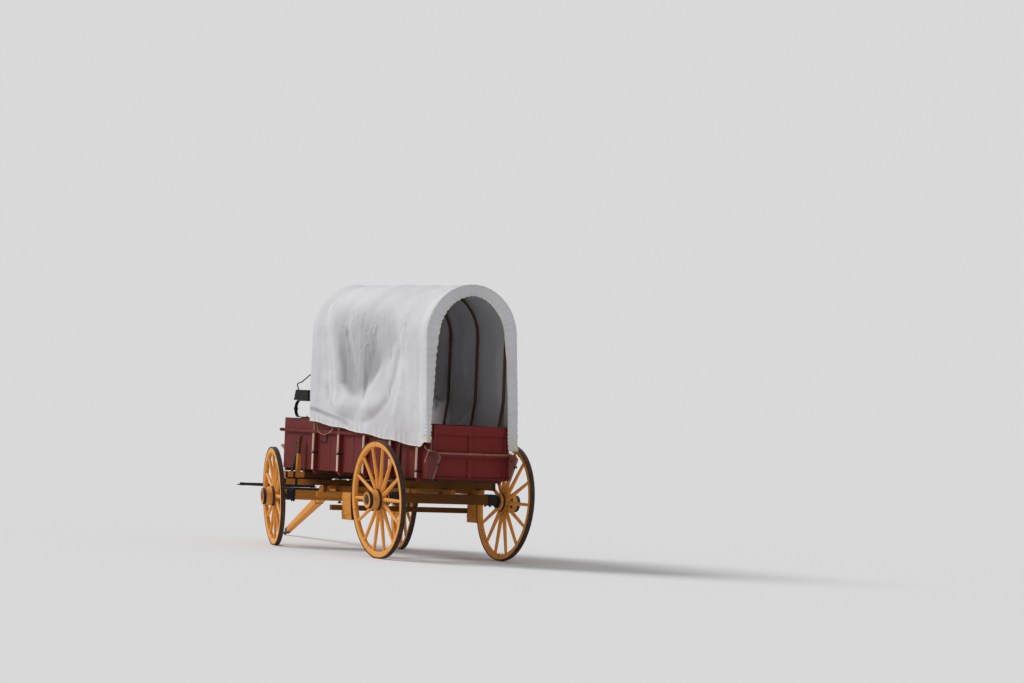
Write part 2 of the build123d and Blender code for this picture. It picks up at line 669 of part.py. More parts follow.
# Front gear, which turns about the king bolt
bolt_hole_r = KING_BOLT_R + RUNNING_GAP
with BuildPart() as front_axle:
    with Locations(gear_plane.offset(FRONT_AXLE_TOP - AXLE_HEIGHT / 2)):
        Box(AXLE_WIDTH, 2 * AXLE_HALF, AXLE_HEIGHT)
        Cylinder(bolt_hole_r, 200, mode=Mode.SUBTRACT)
    for row in wheel_table[2:]:
        with Locations(row[1].offset(HUB_BACK - 60)):
            Cylinder(49, 80, mode=Mode.SUBTRACT)
front_axle.part.label = "front_axle"
export_step(front_axle.part, "parts/front_axle.step")

with BuildPart() as sand_board:
    with Locations(gear_plane.offset(SAND_BOARD_Z + SAND_BOARD_HEIGHT / 2)):
        Box(*SAND_BOARD, SAND_BOARD_HEIGHT)
    with Locations(gear_plane.offset(SAND_BOARD_Z + SAND_BOARD_HEIGHT + PLATE / 2)):
        Cylinder(PLATE_R, PLATE)
    with Locations(gear_plane.offset(SAND_BOARD_Z)):
        Cylinder(bolt_hole_r, 200, mode=Mode.SUBTRACT)
sand_board.part.label = "sand_board"
export_step(sand_board.part, "parts/sand_board.step")

hound_outline = [
    # along the gear, out from its middle
    (570, JAW_Y),
    (570, JAW_Y + 50),
    (320, JAW_Y + 56),
    (-650, 390),
    (-650, 335),
    (310, JAW_Y),
]
tongue_pivot = Plane(origin=turned(gear_plane, TONGUE_PIVOT_X, 0, TONGUE_PIVOT_Z), z_dir=gear_plane.y_dir)
with BuildPart() as front_hounds:
    for side in (1, -1):
        with BuildSketch(gear_plane.offset(FRONT_AXLE_TOP)):
            with BuildLine():
                Polyline(*[(x, side * y) for x, y in hound_outline], close=True)
            make_face()
        extrude(amount=SAND_BOARD_Z - FRONT_AXLE_TOP)
    with Locations(tongue_pivot):
        Cylinder(TONGUE_PIN_R + SEAM, 300, mode=Mode.SUBTRACT)
front_hounds.part.label = "front_hounds"
export_step(front_hounds.part, "parts/front_hounds.step")

with BuildPart() as tongue_pin:
    with Locations(tongue_pivot):
        Cylinder(TONGUE_PIN_R, 2 * JAW_Y + 124)
tongue_pin.part.label = "tongue_pin"
export_step(tongue_pin.part, "parts/tongue_pin.step")

with BuildPart() as sway_bar:
    with Locations(Plane(origin=turned(gear_plane, SWAY_BAR_X, 0, FRONT_AXLE_TOP - SWAY_BAR[2] / 2),
                         x_dir=gear_plane.x_dir, z_dir=gear_plane.z_dir)):
        Box(*SWAY_BAR)
sway_bar.part.label = "sway_bar"
export_step(sway_bar.part, "parts/sway_bar.step")

# Tongue, doubletree and singletrees, on the sloping plane of the lowered pole
pole_tip = Plane(origin=turned(pole_plane, TONGUE_LENGTH - TONGUE_TIP_LENGTH, 0, 0), z_dir=pole_plane.x_dir)
with BuildPart() as pole:
    with BuildSketch(Plane(origin=pole_plane.origin, x_dir=pole_plane.x_dir, z_dir=-pole_plane.y_dir)):
        with BuildLine():
            Polyline((-90, -36), (-90, 36), (-60, POLE_HALF), (700, POLE_HALF),
                     (TONGUE_LENGTH - TONGUE_TIP_LENGTH, 30), (TONGUE_LENGTH - TONGUE_TIP_LENGTH, -30),
                     (700, -POLE_HALF), (-60, -POLE_HALF), close=True)
        make_face()
    extrude(amount=46, both=True)
    for side in (1, -1):
        with BuildSketch(pole_plane):
            with BuildLine():
                Polyline((800, side * 47), (TONGUE_LENGTH, side * 47), (TONGUE_LENGTH, side * 28), close=True)
            make_face()
        extrude(amount=80, both=True, mode=Mode.SUBTRACT)
    with BuildSketch(pole_tip):
        Circle(TONGUE_TIP_R)
    extrude(amount=TONGUE_TIP_LENGTH)
    with Locations(Plane(origin=pole_plane.origin, z_dir=pole_plane.y_dir)):
        Cylinder(TONGUE_PIN_R + RUNNING_GAP, 300, mode=Mode.SUBTRACT)
    with Locations(Plane(origin=turned(pole_plane, DOUBLETREE_X, 0, 0), z_dir=pole_plane.z_dir)):
        Cylinder(HAMMER_PIN_R + SEAM, 300, mode=Mode.SUBTRACT)
pole.part.label = "pole"
export_step(pole.part, "parts/pole.step")

tree_z = POLE_HALF + TREE_GAP
pin_y = DOUBLETREE_LENGTH / 2 - 42
with BuildPart() as doubletree:
    with BuildSketch(pole_plane.offset(tree_z)):
        half_tree = DOUBLETREE_LENGTH / 2
        with BuildLine():
            Polyline((DOUBLETREE_X - 42, 0), (DOUBLETREE_X - 25, half_tree), (DOUBLETREE_X + 25, half_tree),
                     (DOUBLETREE_X + 42, 0), (DOUBLETREE_X + 25, -half_tree), (DOUBLETREE_X - 25, -half_tree),
                     close=True)
        make_face()
    extrude(amount=DOUBLETREE_THICK)
    with Locations(Plane(origin=turned(pole_plane, DOUBLETREE_X, 0, tree_z), z_dir=pole_plane.z_dir)):
        Cylinder(HAMMER_PIN_R + RUNNING_GAP, 300, mode=Mode.SUBTRACT)
    with Locations(*[Plane(origin=turned(pole_plane, DOUBLETREE_X, side * pin_y, tree_z),
                           z_dir=pole_plane.z_dir) for side in (1, -1)]):
        Cylinder(TREE_PIN_R + RUNNING_GAP, 300, mode=Mode.SUBTRACT)
doubletree.part.label = "doubletree"
export_step(doubletree.part, "parts/doubletree.step")

hammer_top = tree_z + DOUBLETREE_THICK + TREE_GAP
with BuildPart() as hammer_pin:
    with BuildSketch(Plane(origin=turned(pole_plane, DOUBLETREE_X, 0, -POLE_HALF), z_dir=pole_plane.z_dir)):
        Circle(HAMMER_PIN_R)
    extrude(amount=POLE_HALF + hammer_top)
    with BuildSketch(Plane(origin=turned(pole_plane, DOUBLETREE_X, 0, hammer_top), z_dir=pole_plane.z_dir)):
        Circle(HAMMER_PIN_R + 11)
    extrude(amount=16)
hammer_pin.part.label = "hammer_pin"
export_step(hammer_pin.part, "parts/hammer_pin.step")

single_z = hammer_top + SINGLETREE_R
for side, name in ((1, "singletree_left"), (-1, "singletree_right")):
    tree_middle = turned(pole_plane, DOUBLETREE_X, side * pin_y, single_z)
    tree_plane = Plane(origin=tree_middle, x_dir=pole_plane.x_dir, z_dir=pole_plane.y_dir)
    pin_plane = Plane(origin=tree_middle, x_dir=pole_plane.x_dir, z_dir=pole_plane.z_dir)
    with BuildPart() as singletree:
        for end in (1, -1):
            with BuildSketch(tree_plane):
                Circle(SINGLETREE_R)
            with BuildSketch(tree_plane.offset(end * SINGLETREE_LENGTH / 2)):
                Circle(SINGLETREE_R * 0.7)
            loft()
        with BuildSketch(pin_plane.offset(-SINGLETREE_R - DOUBLETREE_THICK - 3 * TREE_GAP)):
            Circle(TREE_PIN_R)
        extrude(amount=SINGLETREE_R + DOUBLETREE_THICK + 3 * TREE_GAP)
        with BuildSketch(pin_plane.offset(-SINGLETREE_R - DOUBLETREE_THICK - 3 * TREE_GAP)):
            RegularPolygon(TREE_PIN_R + 7, 6)
        extrude(amount=TREE_GAP)
        for end in (1, -1):
            hook_plane = Plane(
                origin=turned(tree_plane, 0, 0, end * (SINGLETREE_LENGTH / 2 - 2)), x_dir=tree_plane.x_dir,
                z_dir=tree_plane.z_dir * end,
            )
            with BuildSketch(hook_plane):
                Circle(SINGLETREE_R * 0.8)
            extrude(amount=14)
            with BuildSketch(Plane(origin=turned(tree_plane, 8, 0, end * (SINGLETREE_LENGTH / 2 + 22)),
                                   x_dir=pin_plane.x_dir, z_dir=pin_plane.z_dir)):
                with BuildLine():
                    Line((-8, -end * 12), (30, -end * 12))
                    ThreePointArc((30, -end * 12), (42, 0), (30, end * 12))
                    Line((30, end * 12), (4, end * 12))
                trace(line_width=8)
            extrude(amount=5, both=True)
    singletree.part.label = name
    export_step(singletree.part, f"parts/{name}.step")

# Brake: beam across the gear ahead of the rear wheels, blocks, lever and rod
with BuildPart() as brake_beam:
    block(BRAKE_BEAM_X, (-BRAKE_BEAM_HALF, BRAKE_BEAM_HALF), BRAKE_BEAM_Z)
    for side in (1, -1):
        hanger_y = sorted((side * 112, side * 122))
        block((BRAKE_BEAM_X[0] + 10, BRAKE_BEAM_X[1] - 10), hanger_y, (BRAKE_BEAM_Z[1], REACH_REAR_Z))
brake_beam.part.label = "brake_beam"
export_step(brake_beam.part, "parts/brake_beam.step")

with BuildPart() as brake_blocks:
    for row in wheel_table[:2]:
        rim_y = row[1].origin.Y + ORIGIN_Y
        block_y = (rim_y - TYRE_WIDTH / 2, rim_y + TYRE_WIDTH / 2)
        block((BRAKE_BLOCK_X, BRAKE_BEAM_X[0]), block_y, BRAKE_BLOCK_Z)
    with Locations(Plane(origin=spot(0, 0, REAR_WHEEL_D / 2), z_dir=(0, 1, 0))):
        Cylinder(REAR_WHEEL_D / 2 + SHOE_GAP, 2400, mode=Mode.SUBTRACT)
brake_blocks.part.label = "brake_blocks"
export_step(brake_blocks.part, "parts/brake_blocks.step")

with BuildPart() as brake_lever:
    with BuildSketch(Plane(origin=spot(0, half_box + 12, 0), x_dir=(1, 0, 0), z_dir=(0, -1, 0))):
        with BuildLine():
            Polyline((3095, 880), (3050, 880), (2845, 1310), (2885, 1310), close=True)
        make_face()
    extrude(amount=6, both=True)
    with Locations(Plane(origin=spot(LEVER_SHAFT_X, (half_box + ROD_Y - 12) / 2, ROD_Z), z_dir=(0, 1, 0))):
        Cylinder(LEVER_SHAFT_R, half_box - ROD_Y + 48)
brake_lever.part.label = "brake_lever"
export_step(brake_lever.part, "parts/brake_lever.step")

with BuildPart() as brake_rod:
    beam_x = sum(BRAKE_BEAM_X) / 2
    rod_front = LEVER_SHAFT_X - LEVER_SHAFT_R - SEAM
    rod_route = [(rod_front, ROD_Y, ROD_Z), (1300, ROD_Y, ROD_Z), (beam_x, ROD_Y, 650),
                 (beam_x, ROD_Y, BRAKE_BEAM_Z[1] + SEAM)]
    with BuildLine():
        FilletPolyline(*[spot(*p) for p in rod_route], radius=24)
    with BuildSketch(Plane(origin=spot(*rod_route[0]), z_dir=(-1, 0, 0))):
        Circle(BRAKE_ROD_R)
    sweep()
brake_rod.part.label = "brake_rod"
export_step(brake_rod.part, "parts/brake_rod.step")
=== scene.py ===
"""A horse-drawn covered wagon, dressed over its solids: paint, iron, canvas, rope and small irons."""

import logging
import math
from collections.abc import Iterable, Iterator, Sequence
from dataclasses import dataclass
from enum import Enum
from functools import cached_property
from typing import Union

import bpy
import numpy as np
from mathutils import Matrix, Vector, noise


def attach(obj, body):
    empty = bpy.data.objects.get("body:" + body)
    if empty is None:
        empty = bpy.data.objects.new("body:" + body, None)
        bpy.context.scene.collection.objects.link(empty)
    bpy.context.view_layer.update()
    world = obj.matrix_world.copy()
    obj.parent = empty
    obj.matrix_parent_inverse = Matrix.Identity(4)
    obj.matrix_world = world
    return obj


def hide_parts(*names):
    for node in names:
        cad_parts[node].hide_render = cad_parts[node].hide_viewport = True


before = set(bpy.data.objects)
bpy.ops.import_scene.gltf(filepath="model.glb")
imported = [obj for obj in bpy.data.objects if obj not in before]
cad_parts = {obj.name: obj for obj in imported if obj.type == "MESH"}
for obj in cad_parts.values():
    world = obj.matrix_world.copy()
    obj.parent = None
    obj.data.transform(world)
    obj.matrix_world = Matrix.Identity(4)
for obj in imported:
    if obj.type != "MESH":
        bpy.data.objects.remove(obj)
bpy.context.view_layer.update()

Pair = tuple[float, float]
Point = tuple[float, float, float]
Colour = tuple[float, float, float, float]
Row = tuple[float, ...]
Seam = tuple[int, float, float]
Array = np.ndarray
Material = bpy.types.Material
Value = Union[float, "Signal"]

LOG = logging.getLogger("wagon")
SIDES = (1, -1)

# The part's origin, counted from the rear axle and the wagon's centre plane, in metres
ORIGIN = Vector((2.592, -0.161, 0.0))
WHEELBASE = 2.765
STEER = math.radians(-13)
CAMBER = math.radians(3.4)
WHEEL_Y = 0.797
REAR_WHEEL_Z = 0.66044
TONGUE_DROP = math.radians(13.2)


@dataclass(frozen=True)
class Carrier:
    """A frame of the wagon: a point, and the ways ahead, to the left and up."""

    origin: Vector
    ahead: Vector
    aside: Vector
    up: Vector

    def at(self, x: float, y: float, z: float) -> Vector:
        """Gives a point counted along the frame's three ways."""
        return self.origin + self.way(x, y, z)

    def way(self, x: float, y: float, z: float) -> Vector:
        """Gives a direction."""
        return self.ahead * x + self.aside * y + self.up * z


WAGON = Carrier(-ORIGIN, Vector((1, 0, 0)), Vector((0, 1, 0)), Vector((0, 0, 1)))
GEAR = Carrier(
    WAGON.at(WHEELBASE, 0, 0),
    WAGON.way(math.cos(STEER), math.sin(STEER), 0),
    WAGON.way(-math.sin(STEER), math.cos(STEER), 0),
    WAGON.up,
)
POLE = Carrier(
    GEAR.at(0.5, 0, 0.697),
    GEAR.way(math.cos(TONGUE_DROP), 0, -math.sin(TONGUE_DROP)),
    GEAR.aside,
    GEAR.way(math.sin(TONGUE_DROP), 0, math.cos(TONGUE_DROP)),
)


def linear(*levels: int) -> Colour:
    """Turns a colour as the eye reads it, 0 to 255, into the linear one that a shader takes."""
    shares = [level / 255 for level in levels]
    return *(share / 12.92 if share <= 0.04045 else ((share + 0.055) / 1.055) ** 2.4 for share in shares), 1.0


# shader expressions


class Signal:
    """One socket of a shader tree that takes part in Python arithmetic."""

    def __init__(self, tree: "Tree", socket: bpy.types.NodeSocket) -> None:
        """Wraps a socket of a tree."""
        self.tree = tree
        self.socket = socket

    def math(self, operation: str, *values: Value) -> "Signal":
        """Adds a Math node on these values."""
        return self.tree.node("ShaderNodeMath", {"operation": operation}, dict(enumerate(values)))

    def __add__(self, other: Value) -> "Signal":
        """Adds."""
        return self.math("ADD", self, other)

    def __sub__(self, other: Value) -> "Signal":
        """Subtracts."""
        return self.math("SUBTRACT", self, other)

    def __rsub__(self, other: Value) -> "Signal":
        """Subtracts this from a number."""
        return self.math("SUBTRACT", other, self)

    def __mul__(self, other: Value) -> "Signal":
        """Multiplies."""
        return self.math("MULTIPLY", self, other)

    def __truediv__(self, other: Value) -> "Signal":
        """Divides."""
        return self.math("DIVIDE", self, other)

    __radd__ = __add__
    __rmul__ = __mul__

    def most(self, other: Value) -> "Signal":
        """Gives the larger of the two."""
        return self.math("MAXIMUM", self, other)

    def sine(self) -> "Signal":
        """Gives the sine."""
        return self.math("SINE", self)

    def from_middle(self, pitch: float) -> "Signal":
        """Gives the distance to the nearest middle of repeats of this pitch."""
        return (self.math("FRACT", self / pitch) - 0.5).size() * pitch

    def size(self) -> "Signal":
        """Gives the absolute value."""
        return self.math("ABSOLUTE", self)

    def ease(self, low: float, high: float) -> "Signal":
        """Runs smoothly from 0 at low to 1 at high."""
        sockets = {"Value": self, "From Min": low, "From Max": high}
        return self.tree.node("ShaderNodeMapRange", {"interpolation_type": "SMOOTHSTEP"}, sockets)


class Tree:
    """A shader tree that grows by expressions."""

    def __init__(self, tree: bpy.types.NodeTree) -> None:
        """Wraps a node tree."""
        self.tree = tree

    def node(
        self, kind: str, settings: dict | None = None, sockets: dict | None = None, output: str | int = 0
    ) -> Signal:
        """Adds any node.

        Args:
            kind: The node's type.
            settings: Its own settings.
            sockets: The values or links of its inputs.
            output: The output that is used.

        Returns:
            That output.
        """
        made = self.tree.nodes.new(kind)
        for name, value in (settings or {}).items():
            setattr(made, name, value)
        for name, value in (sockets or {}).items():
            self.feed(value, made.inputs[name])
        return Signal(self, made.outputs[output])

    def feed(self, value: object, socket: bpy.types.NodeSocket) -> None:
        """Links a signal to a socket, or sets the socket to a value.

        Args:
            value: The signal or value.
            socket: The socket.
        """
        if isinstance(value, Signal):
            self.tree.links.new(value.socket, socket)
        else:
            socket.default_value = value

    def blend(self, share: Value, first: object, second: object) -> Signal:
        """Blends two colours, given or linked, from 0 for the first to 1 for the second."""
        return self.node("ShaderNodeMix", {"data_type": "RGBA"}, {0: share, 6: first, 7: second}, 2)


class Paint(Tree):
    """One material and its shader tree."""

    def __init__(self, name: str, shine: float = 0.16) -> None:
        """Starts a material with one Principled shader, as glossy as `shine` says.

        Args:
            name: The material's name.
            shine: How strong its reflections are.
        """
        self.material = bpy.data.materials.new(name)
        self.material.use_nodes = True
        super().__init__(self.material.node_tree)
        self.shader = self.tree.nodes["Principled BSDF"]
        self.shader.inputs["Specular IOR Level"].default_value = shine

    @cached_property
    def where(self) -> Signal:
        """Gives the point on the piece, in metres, fixed to the piece."""
        return self.node("ShaderNodeTexCoord", output="Object")

    @cached_property
    def facing(self) -> tuple[Signal, Signal, Signal]:
        """Gives the way that the surface faces, as three numbers from -1 to 1."""
        return self.parts(self.node("ShaderNodeNewGeometry", output="Normal"))

    def vector(self, operation: str, first: object, second: object, output: str | int = 0) -> Signal:
        """Adds a Vector Math node on two vectors, or on a vector and its scale."""
        sockets = {0: first, "Scale" if operation == "SCALE" else 1: second}
        return self.node("ShaderNodeVectorMath", {"operation": operation}, sockets, output)

    def parts(self, vector: Signal) -> tuple[Signal, Signal, Signal]:
        """Splits a vector into its three numbers."""
        outputs = self.node("ShaderNodeSeparateXYZ", None, {0: vector}).socket.node.outputs
        return tuple(Signal(self, output) for output in outputs)

    def noise(self, scale: float, detail: float, roughness: float, at: Signal | None = None) -> Signal:
        """Gives soft noise from about 0.2 to 0.8, read where the point is or `at` another."""
        sockets = {"Vector": at or self.where, "Scale": scale, "Detail": detail, "Roughness": roughness}
        return self.node("ShaderNodeTexNoise", None, sockets)

    def drawn(self, factors: Point) -> Signal:
        """Gives the point with its three numbers multiplied, which draws noise out along a grain."""
        return self.vector("MULTIPLY", self.where, factors)

    def finish(
        self, colour: Signal, roughness: Value, bump: Signal, height: float, metal: Value = 0.0
    ) -> Material:
        """Feeds the shader.

        Args:
            colour: The base colour.
            roughness: The roughness.
            bump: The height pattern, from 0 to 1.
            height: The depth of that pattern, in metres.
            metal: How metallic the surface is.

        Returns:
            The material.
        """
        relief = self.node("ShaderNodeBump", None, {"Strength": 1.0, "Distance": height, "Height": bump})
        fed = {"Base Color": colour, "Roughness": roughness, "Metallic": metal, "Normal": relief}
        for name, value in fed.items():
            self.feed(value, self.shader.inputs[name])
        return self.material


# finishes


class Grain(Enum):
    """The way that a timber's grain runs, as how tightly noise is drawn along x, y and z."""

    LENGTHWAYS = (1.2, 26.0, 26.0)
    CROSSWAYS = (26.0, 1.2, 26.0)
    UPRIGHT = (26.0, 26.0, 1.2)


@dataclass(frozen=True)
class Patch:
    """A box in the part's frame within which a painted timber has another colour."""

    low: Point
    high: Point
    colour: Colour
    share: float
    soft: float = 0.012


@dataclass(frozen=True)
class PaintedTimber:
    """Painted boards that the weather has faded, with grain, dust and bare wood where the paint has gone.

    Each seam is a dark line: a grimy joint between boards, or a painted shadow beside a proud board; an axis,
    a place along it and a width.
    """

    name: str
    paint: Colour
    faded: Colour
    bare: Colour
    grain: Grain
    worn_from: float = 0.66
    shine: float = 0.5
    seams: tuple[Seam, ...] = ()
    patches: tuple[Patch, ...] = ()
    seam_share: float = 0.65
    end_grain: Colour | None = None

    def make(self) -> Material:
        """Makes the material.

        Returns:
            The material.
        """
        paint = Paint(self.name)
        streaks = paint.noise(3.0, 5.0, 0.6, paint.drawn(self.grain.value))
        clouds, specks = paint.noise(2.2, 4.0, 0.6), paint.noise(60.0, 2.0, 0.6)
        colour = paint.blend((clouds * 0.6 + streaks * 0.5).ease(0.35, 0.8), self.paint, self.faded)
        gone = (streaks * 0.62 + specks * 0.22 + clouds * 0.2).ease(self.worn_from, self.worn_from + 0.09)
        colour = paint.blend(gone * 0.85, colour, self.bare)
        axes = paint.parts(paint.where)
        # seams darken the paint: grimy joints, and painted shadow where a board stands proud, as on the end
        # gate
        for axis, joint, reach in self.seams:
            near = 1 - (axes[axis] - joint).size().ease(reach * 0.25, reach)
            grime_and_painted_shade = near * (clouds.ease(0.2, 0.6) * 0.25 + self.seam_share)
            colour = paint.blend(grime_and_painted_shade, colour, linear(34, 14, 12))
        for patch in self.patches:
            inside = streaks * 0.4 + 0.8
            for axis, low, high in zip(axes, patch.low, patch.high):
                rises = axis.ease(low - patch.soft, low + patch.soft)
                inside = inside * rises * (1 - axis.ease(high - patch.soft, high + patch.soft))
            colour = paint.blend(inside * patch.share, colour, patch.colour)
        if self.end_grain:
            ends = (0 - paint.facing[0]).ease(0.35, 0.6)
            colour = paint.blend(ends * (streaks.ease(0.35, 0.6) * 0.5 + 0.45), colour, self.end_grain)
        dust = paint.facing[2].ease(0.35, 0.95) * clouds.ease(0.3, 0.75)
        colour = paint.blend(dust * 0.30, colour, linear(176, 140, 122))
        roughness = self.shine + gone * 0.25 + dust * 0.2 + streaks * 0.12
        return paint.finish(colour, roughness, streaks * 0.7 + specks * 0.3 - gone * 0.5, 0.0022)


@dataclass(frozen=True)
class BareTimber:
    """Bare weathered timber, with painted shade darkening it from the height `shaded_from` up."""

    name: str
    light: Colour
    dark: Colour
    grain: Grain
    shaded_from: float = 9.0
    edges: Colour | None = None
    board: float = 0.0

    def make(self) -> Material:
        """Makes the material.

        Returns:
            The material.
        """
        paint = Paint(self.name)
        grain = paint.drawn(self.grain.value)
        streaks, clouds = paint.noise(4.0, 6.0, 0.65, grain), paint.noise(3.0, 3.0, 0.6)
        checks = paint.noise(9.0, 2.0, 0.5, grain).ease(0.62, 0.7)
        _, y, z = paint.parts(paint.where)
        shade = z.ease(self.shaded_from - 0.04, self.shaded_from + 0.04)
        colour = paint.blend(streaks.ease(0.3, 0.75) * 0.7 + shade * 0.3, self.light, self.dark)
        colour = paint.blend(shade * 0.75, colour, self.dark)
        colour = paint.blend(checks * 0.5, colour, linear(60, 45, 36))
        if self.board:
            joint = y.from_middle(self.board)
            colour = paint.blend(1 - joint.ease(0.001, 0.004), colour, linear(30, 22, 18))
        if self.edges:
            colour = paint.blend(paint.facing[2].size().ease(0.4, 0.6), self.edges, colour)
        return paint.finish(colour, clouds * 0.2 + 0.68, streaks - checks * 0.6, 0.0018)


@dataclass(frozen=True)
class ForgedIron:
    """Blacksmith's iron: dark scale, hammer marks and rust in the hollows."""

    name: str
    scale: Colour
    rust: Colour
    rust_from: float = 0.55
    metal: float = 0.6

    def make(self) -> Material:
        """Makes the material.

        Returns:
            The material.
        """
        paint = Paint(self.name, 0.4)
        clouds = paint.noise(9.0, 5.0, 0.65)
        hammer = paint.node(
            "ShaderNodeTexVoronoi", {"feature": "SMOOTH_F1"}, {"Vector": paint.where, "Scale": 45.0}
        )
        rust = clouds.ease(self.rust_from, self.rust_from + 0.16)
        colour = paint.blend(rust, self.scale, self.rust)
        relief = hammer * 0.4 + clouds * 0.6
        return paint.finish(colour, rust * 0.3 + clouds * 0.2 + 0.4, relief, 0.0014, (1 - rust) * self.metal)


class WheelPart(Enum):
    """A wheel's parts, as how tightly their grain is drawn along the axle, around it and outward."""

    SPOKES = (90.0, 60.0, 5.0)
    FELLOES = (90.0, 5.0, 90.0)
    HUB = (6.0, 12.0, 60.0)
    TYRE = (1.0, 1.0, 1.0)


@dataclass(frozen=True)
class WheelFinish:
    """The finish of a wheel's part, laid out around its axle, which is its carrier's way up."""

    name: str
    part: WheelPart
    wheel: Carrier
    radius: float
    joints: int
    paint: Colour = linear(244, 164, 66)
    faded: Colour = linear(226, 154, 78)
    bare: Colour = linear(150, 112, 82)

    def make(self) -> Material:
        """Makes the material.

        Returns:
            The material.
        """
        paint = Paint(self.name)
        where = paint.vector("SUBTRACT", paint.where, tuple(self.wheel.origin))
        along = paint.vector("DOT_PRODUCT", where, tuple(self.wheel.up), "Value")
        flat = paint.vector("SUBTRACT", where, paint.vector("SCALE", tuple(self.wheel.up), along))
        radius = paint.vector("LENGTH", flat, (0.0, 0.0, 0.0), "Value")
        across = paint.vector("DOT_PRODUCT", flat, tuple(self.wheel.ahead), "Value")
        high = paint.vector("DOT_PRODUCT", flat, tuple(self.wheel.aside), "Value")
        turn = high.math("ARCTAN2", high, across)
        clouds, specks = paint.noise(5.0, 4.0, 0.6, where), paint.noise(70.0, 2.0, 0.6, where)
        if self.part is WheelPart.TYRE:
            return self._iron(paint, radius, clouds, specks)
        drawn = [signal * share for signal, share in zip((along, turn, radius), self.part.value)]
        grain = paint.node("ShaderNodeCombineXYZ", None, dict(enumerate(drawn)))
        streaks = paint.noise(1.0, 5.0, 0.6, grain)
        colour = paint.blend((streaks * 0.6 + clouds * 0.5).ease(0.35, 0.8), self.paint, self.faded)
        gone = (streaks * 0.55 + specks * 0.3 + clouds * 0.2).ease(0.68, 0.78)
        colour = paint.blend(gone * 0.8, colour, self.bare)
        if self.part is WheelPart.FELLOES:
            pitch = math.tau / self.joints
            joint = 1 - ((turn + pitch / 4).from_middle(pitch) * self.radius).ease(0.0008, 0.004)
            colour = paint.blend(joint * 0.85, colour, linear(58, 38, 24))
            low = radius.ease(self.radius - 0.02, self.radius - 0.008) * clouds.ease(0.3, 0.7)
            colour = paint.blend(low * 0.5, colour, linear(120, 92, 66))
            relief = streaks * 0.5 + specks * 0.3 - joint
        else:
            foot = (1 - radius.ease(0.12, 0.19)) * clouds.ease(0.35, 0.7)
            colour = paint.blend(foot * 0.5, colour, linear(112, 70, 34))
            relief = streaks * 0.6 + specks * 0.3 - gone * 0.4
        return paint.finish(colour, gone * 0.25 + streaks * 0.15 + 0.42, relief, 0.0018)

    def _iron(self, paint: Paint, radius: Signal, clouds: Signal, specks: Signal) -> Material:
        """Finishes the tyre: dull brown iron, rubbed bright on the tread.

        Args:
            paint: The material that is being made.
            radius: The distance from the axle.
            clouds: Broad noise.
            specks: Fine noise.

        Returns:
            The material.
        """
        tread = radius.ease(self.radius - 0.004, self.radius - 0.001)
        colour = paint.blend(clouds.ease(0.35, 0.7), linear(46, 38, 34), linear(74, 50, 38))
        colour = paint.blend(tread * specks.ease(0.4, 0.7) * 0.6, colour, linear(104, 88, 74))
        metal = (1 - clouds.ease(0.45, 0.7)) * 0.55
        return paint.finish(colour, clouds * 0.25 + 0.42, clouds * 0.5 + specks * 0.5, 0.0016, metal)


@dataclass(frozen=True)
class CanvasCloth:
    """Off-white wagon canvas: a plain weave, seams across the sheet, dust towards the hem, and painted shade
    in its hollows.
    """

    name: str
    cloth: Colour
    aged: Colour
    # the grey of the painted shade in the sheet's hollows
    grime_and_painted_shade: Colour = linear(150, 149, 153)
    thread: float = 2600.0
    seam_pitch: float = 0.9
    hem_slope: float = 0.0775

    def make(self) -> Material:
        """Makes the material.

        Returns:
            The material.
        """
        paint = Paint(self.name)
        x, y, z = paint.parts(paint.where)
        clouds, blots = paint.noise(1.6, 5.0, 0.6), paint.noise(6.0, 4.0, 0.65)
        weave = (x * self.thread).sine() * (z * self.thread + y * self.thread).sine()
        slub = paint.noise(1.0, 2.0, 0.5, paint.drawn((400.0, 60.0, 60.0)))
        low = 1 - (z - x * self.hem_slope).ease(1.12, 1.24)
        aged = clouds.ease(0.35, 0.75) * 0.7 + blots.ease(0.55, 0.75) * 0.2
        colour = paint.blend(aged, self.cloth, self.aged)
        colour = paint.blend(low * blots.ease(0.35, 0.7) * 0.35, colour, linear(206, 196, 172))
        corner = (1 - x.ease(-3.26, -3.12)) * (1 - z.ease(1.33, 1.50))
        colour = paint.blend(corner * (blots.ease(0.3, 0.6) * 0.5 + 0.3), colour, linear(214, 206, 180))
        seam = 1 - (x + 0.12 * self.seam_pitch).from_middle(self.seam_pitch).ease(0.004, 0.009)
        colour = paint.blend(seam * 0.12, colour, linear(150, 148, 146))
        # painted shade: the sheet's hollow attribute greys the cloth in its hollows, creases and arcs
        hollow = paint.node("ShaderNodeAttribute", {"attribute_name": "hollow"}, output="Fac")
        colour = paint.blend(hollow * (clouds * 0.4 + 0.52), colour, self.grime_and_painted_shade)
        return paint.finish(colour, 0.86, weave * 0.15 + slub * 0.5 + seam * 0.6, 0.0012)


@dataclass(frozen=True)
class TwistedHemp:
    """Hemp rope, pale and dark by its fibres."""

    name: str
    light: Colour = linear(208, 190, 158)
    dark: Colour = linear(150, 126, 96)

    def make(self) -> Material:
        """Makes the material.

        Returns:
            The material.
        """
        paint = Paint(self.name)
        fibres, clouds = paint.noise(420.0, 3.0, 0.6), paint.noise(14.0, 3.0, 0.6)
        colour = paint.blend((fibres * 0.6 + clouds * 0.4).ease(0.35, 0.65), self.dark, self.light)
        return paint.finish(colour, 0.88, fibres, 0.001)


# shapes


def add(name: str, data: bpy.types.ID) -> bpy.types.Object:
    """Puts an object in the scene.

    Args:
        name: Its name.
        data: Its mesh, curve, camera or light.

    Returns:
        The object.
    """
    made = bpy.data.objects.new(name, data)
    bpy.context.scene.collection.objects.link(made)
    return made


def circle(centre: Vector, side: Vector, up: Vector, radius: float, sides: int) -> list[Vector]:
    """Gives points around a circle."""
    turns = (math.tau * step / sides for step in range(sides))
    return [centre + (side * math.cos(turn) + up * math.sin(turn)) * radius for turn in turns]


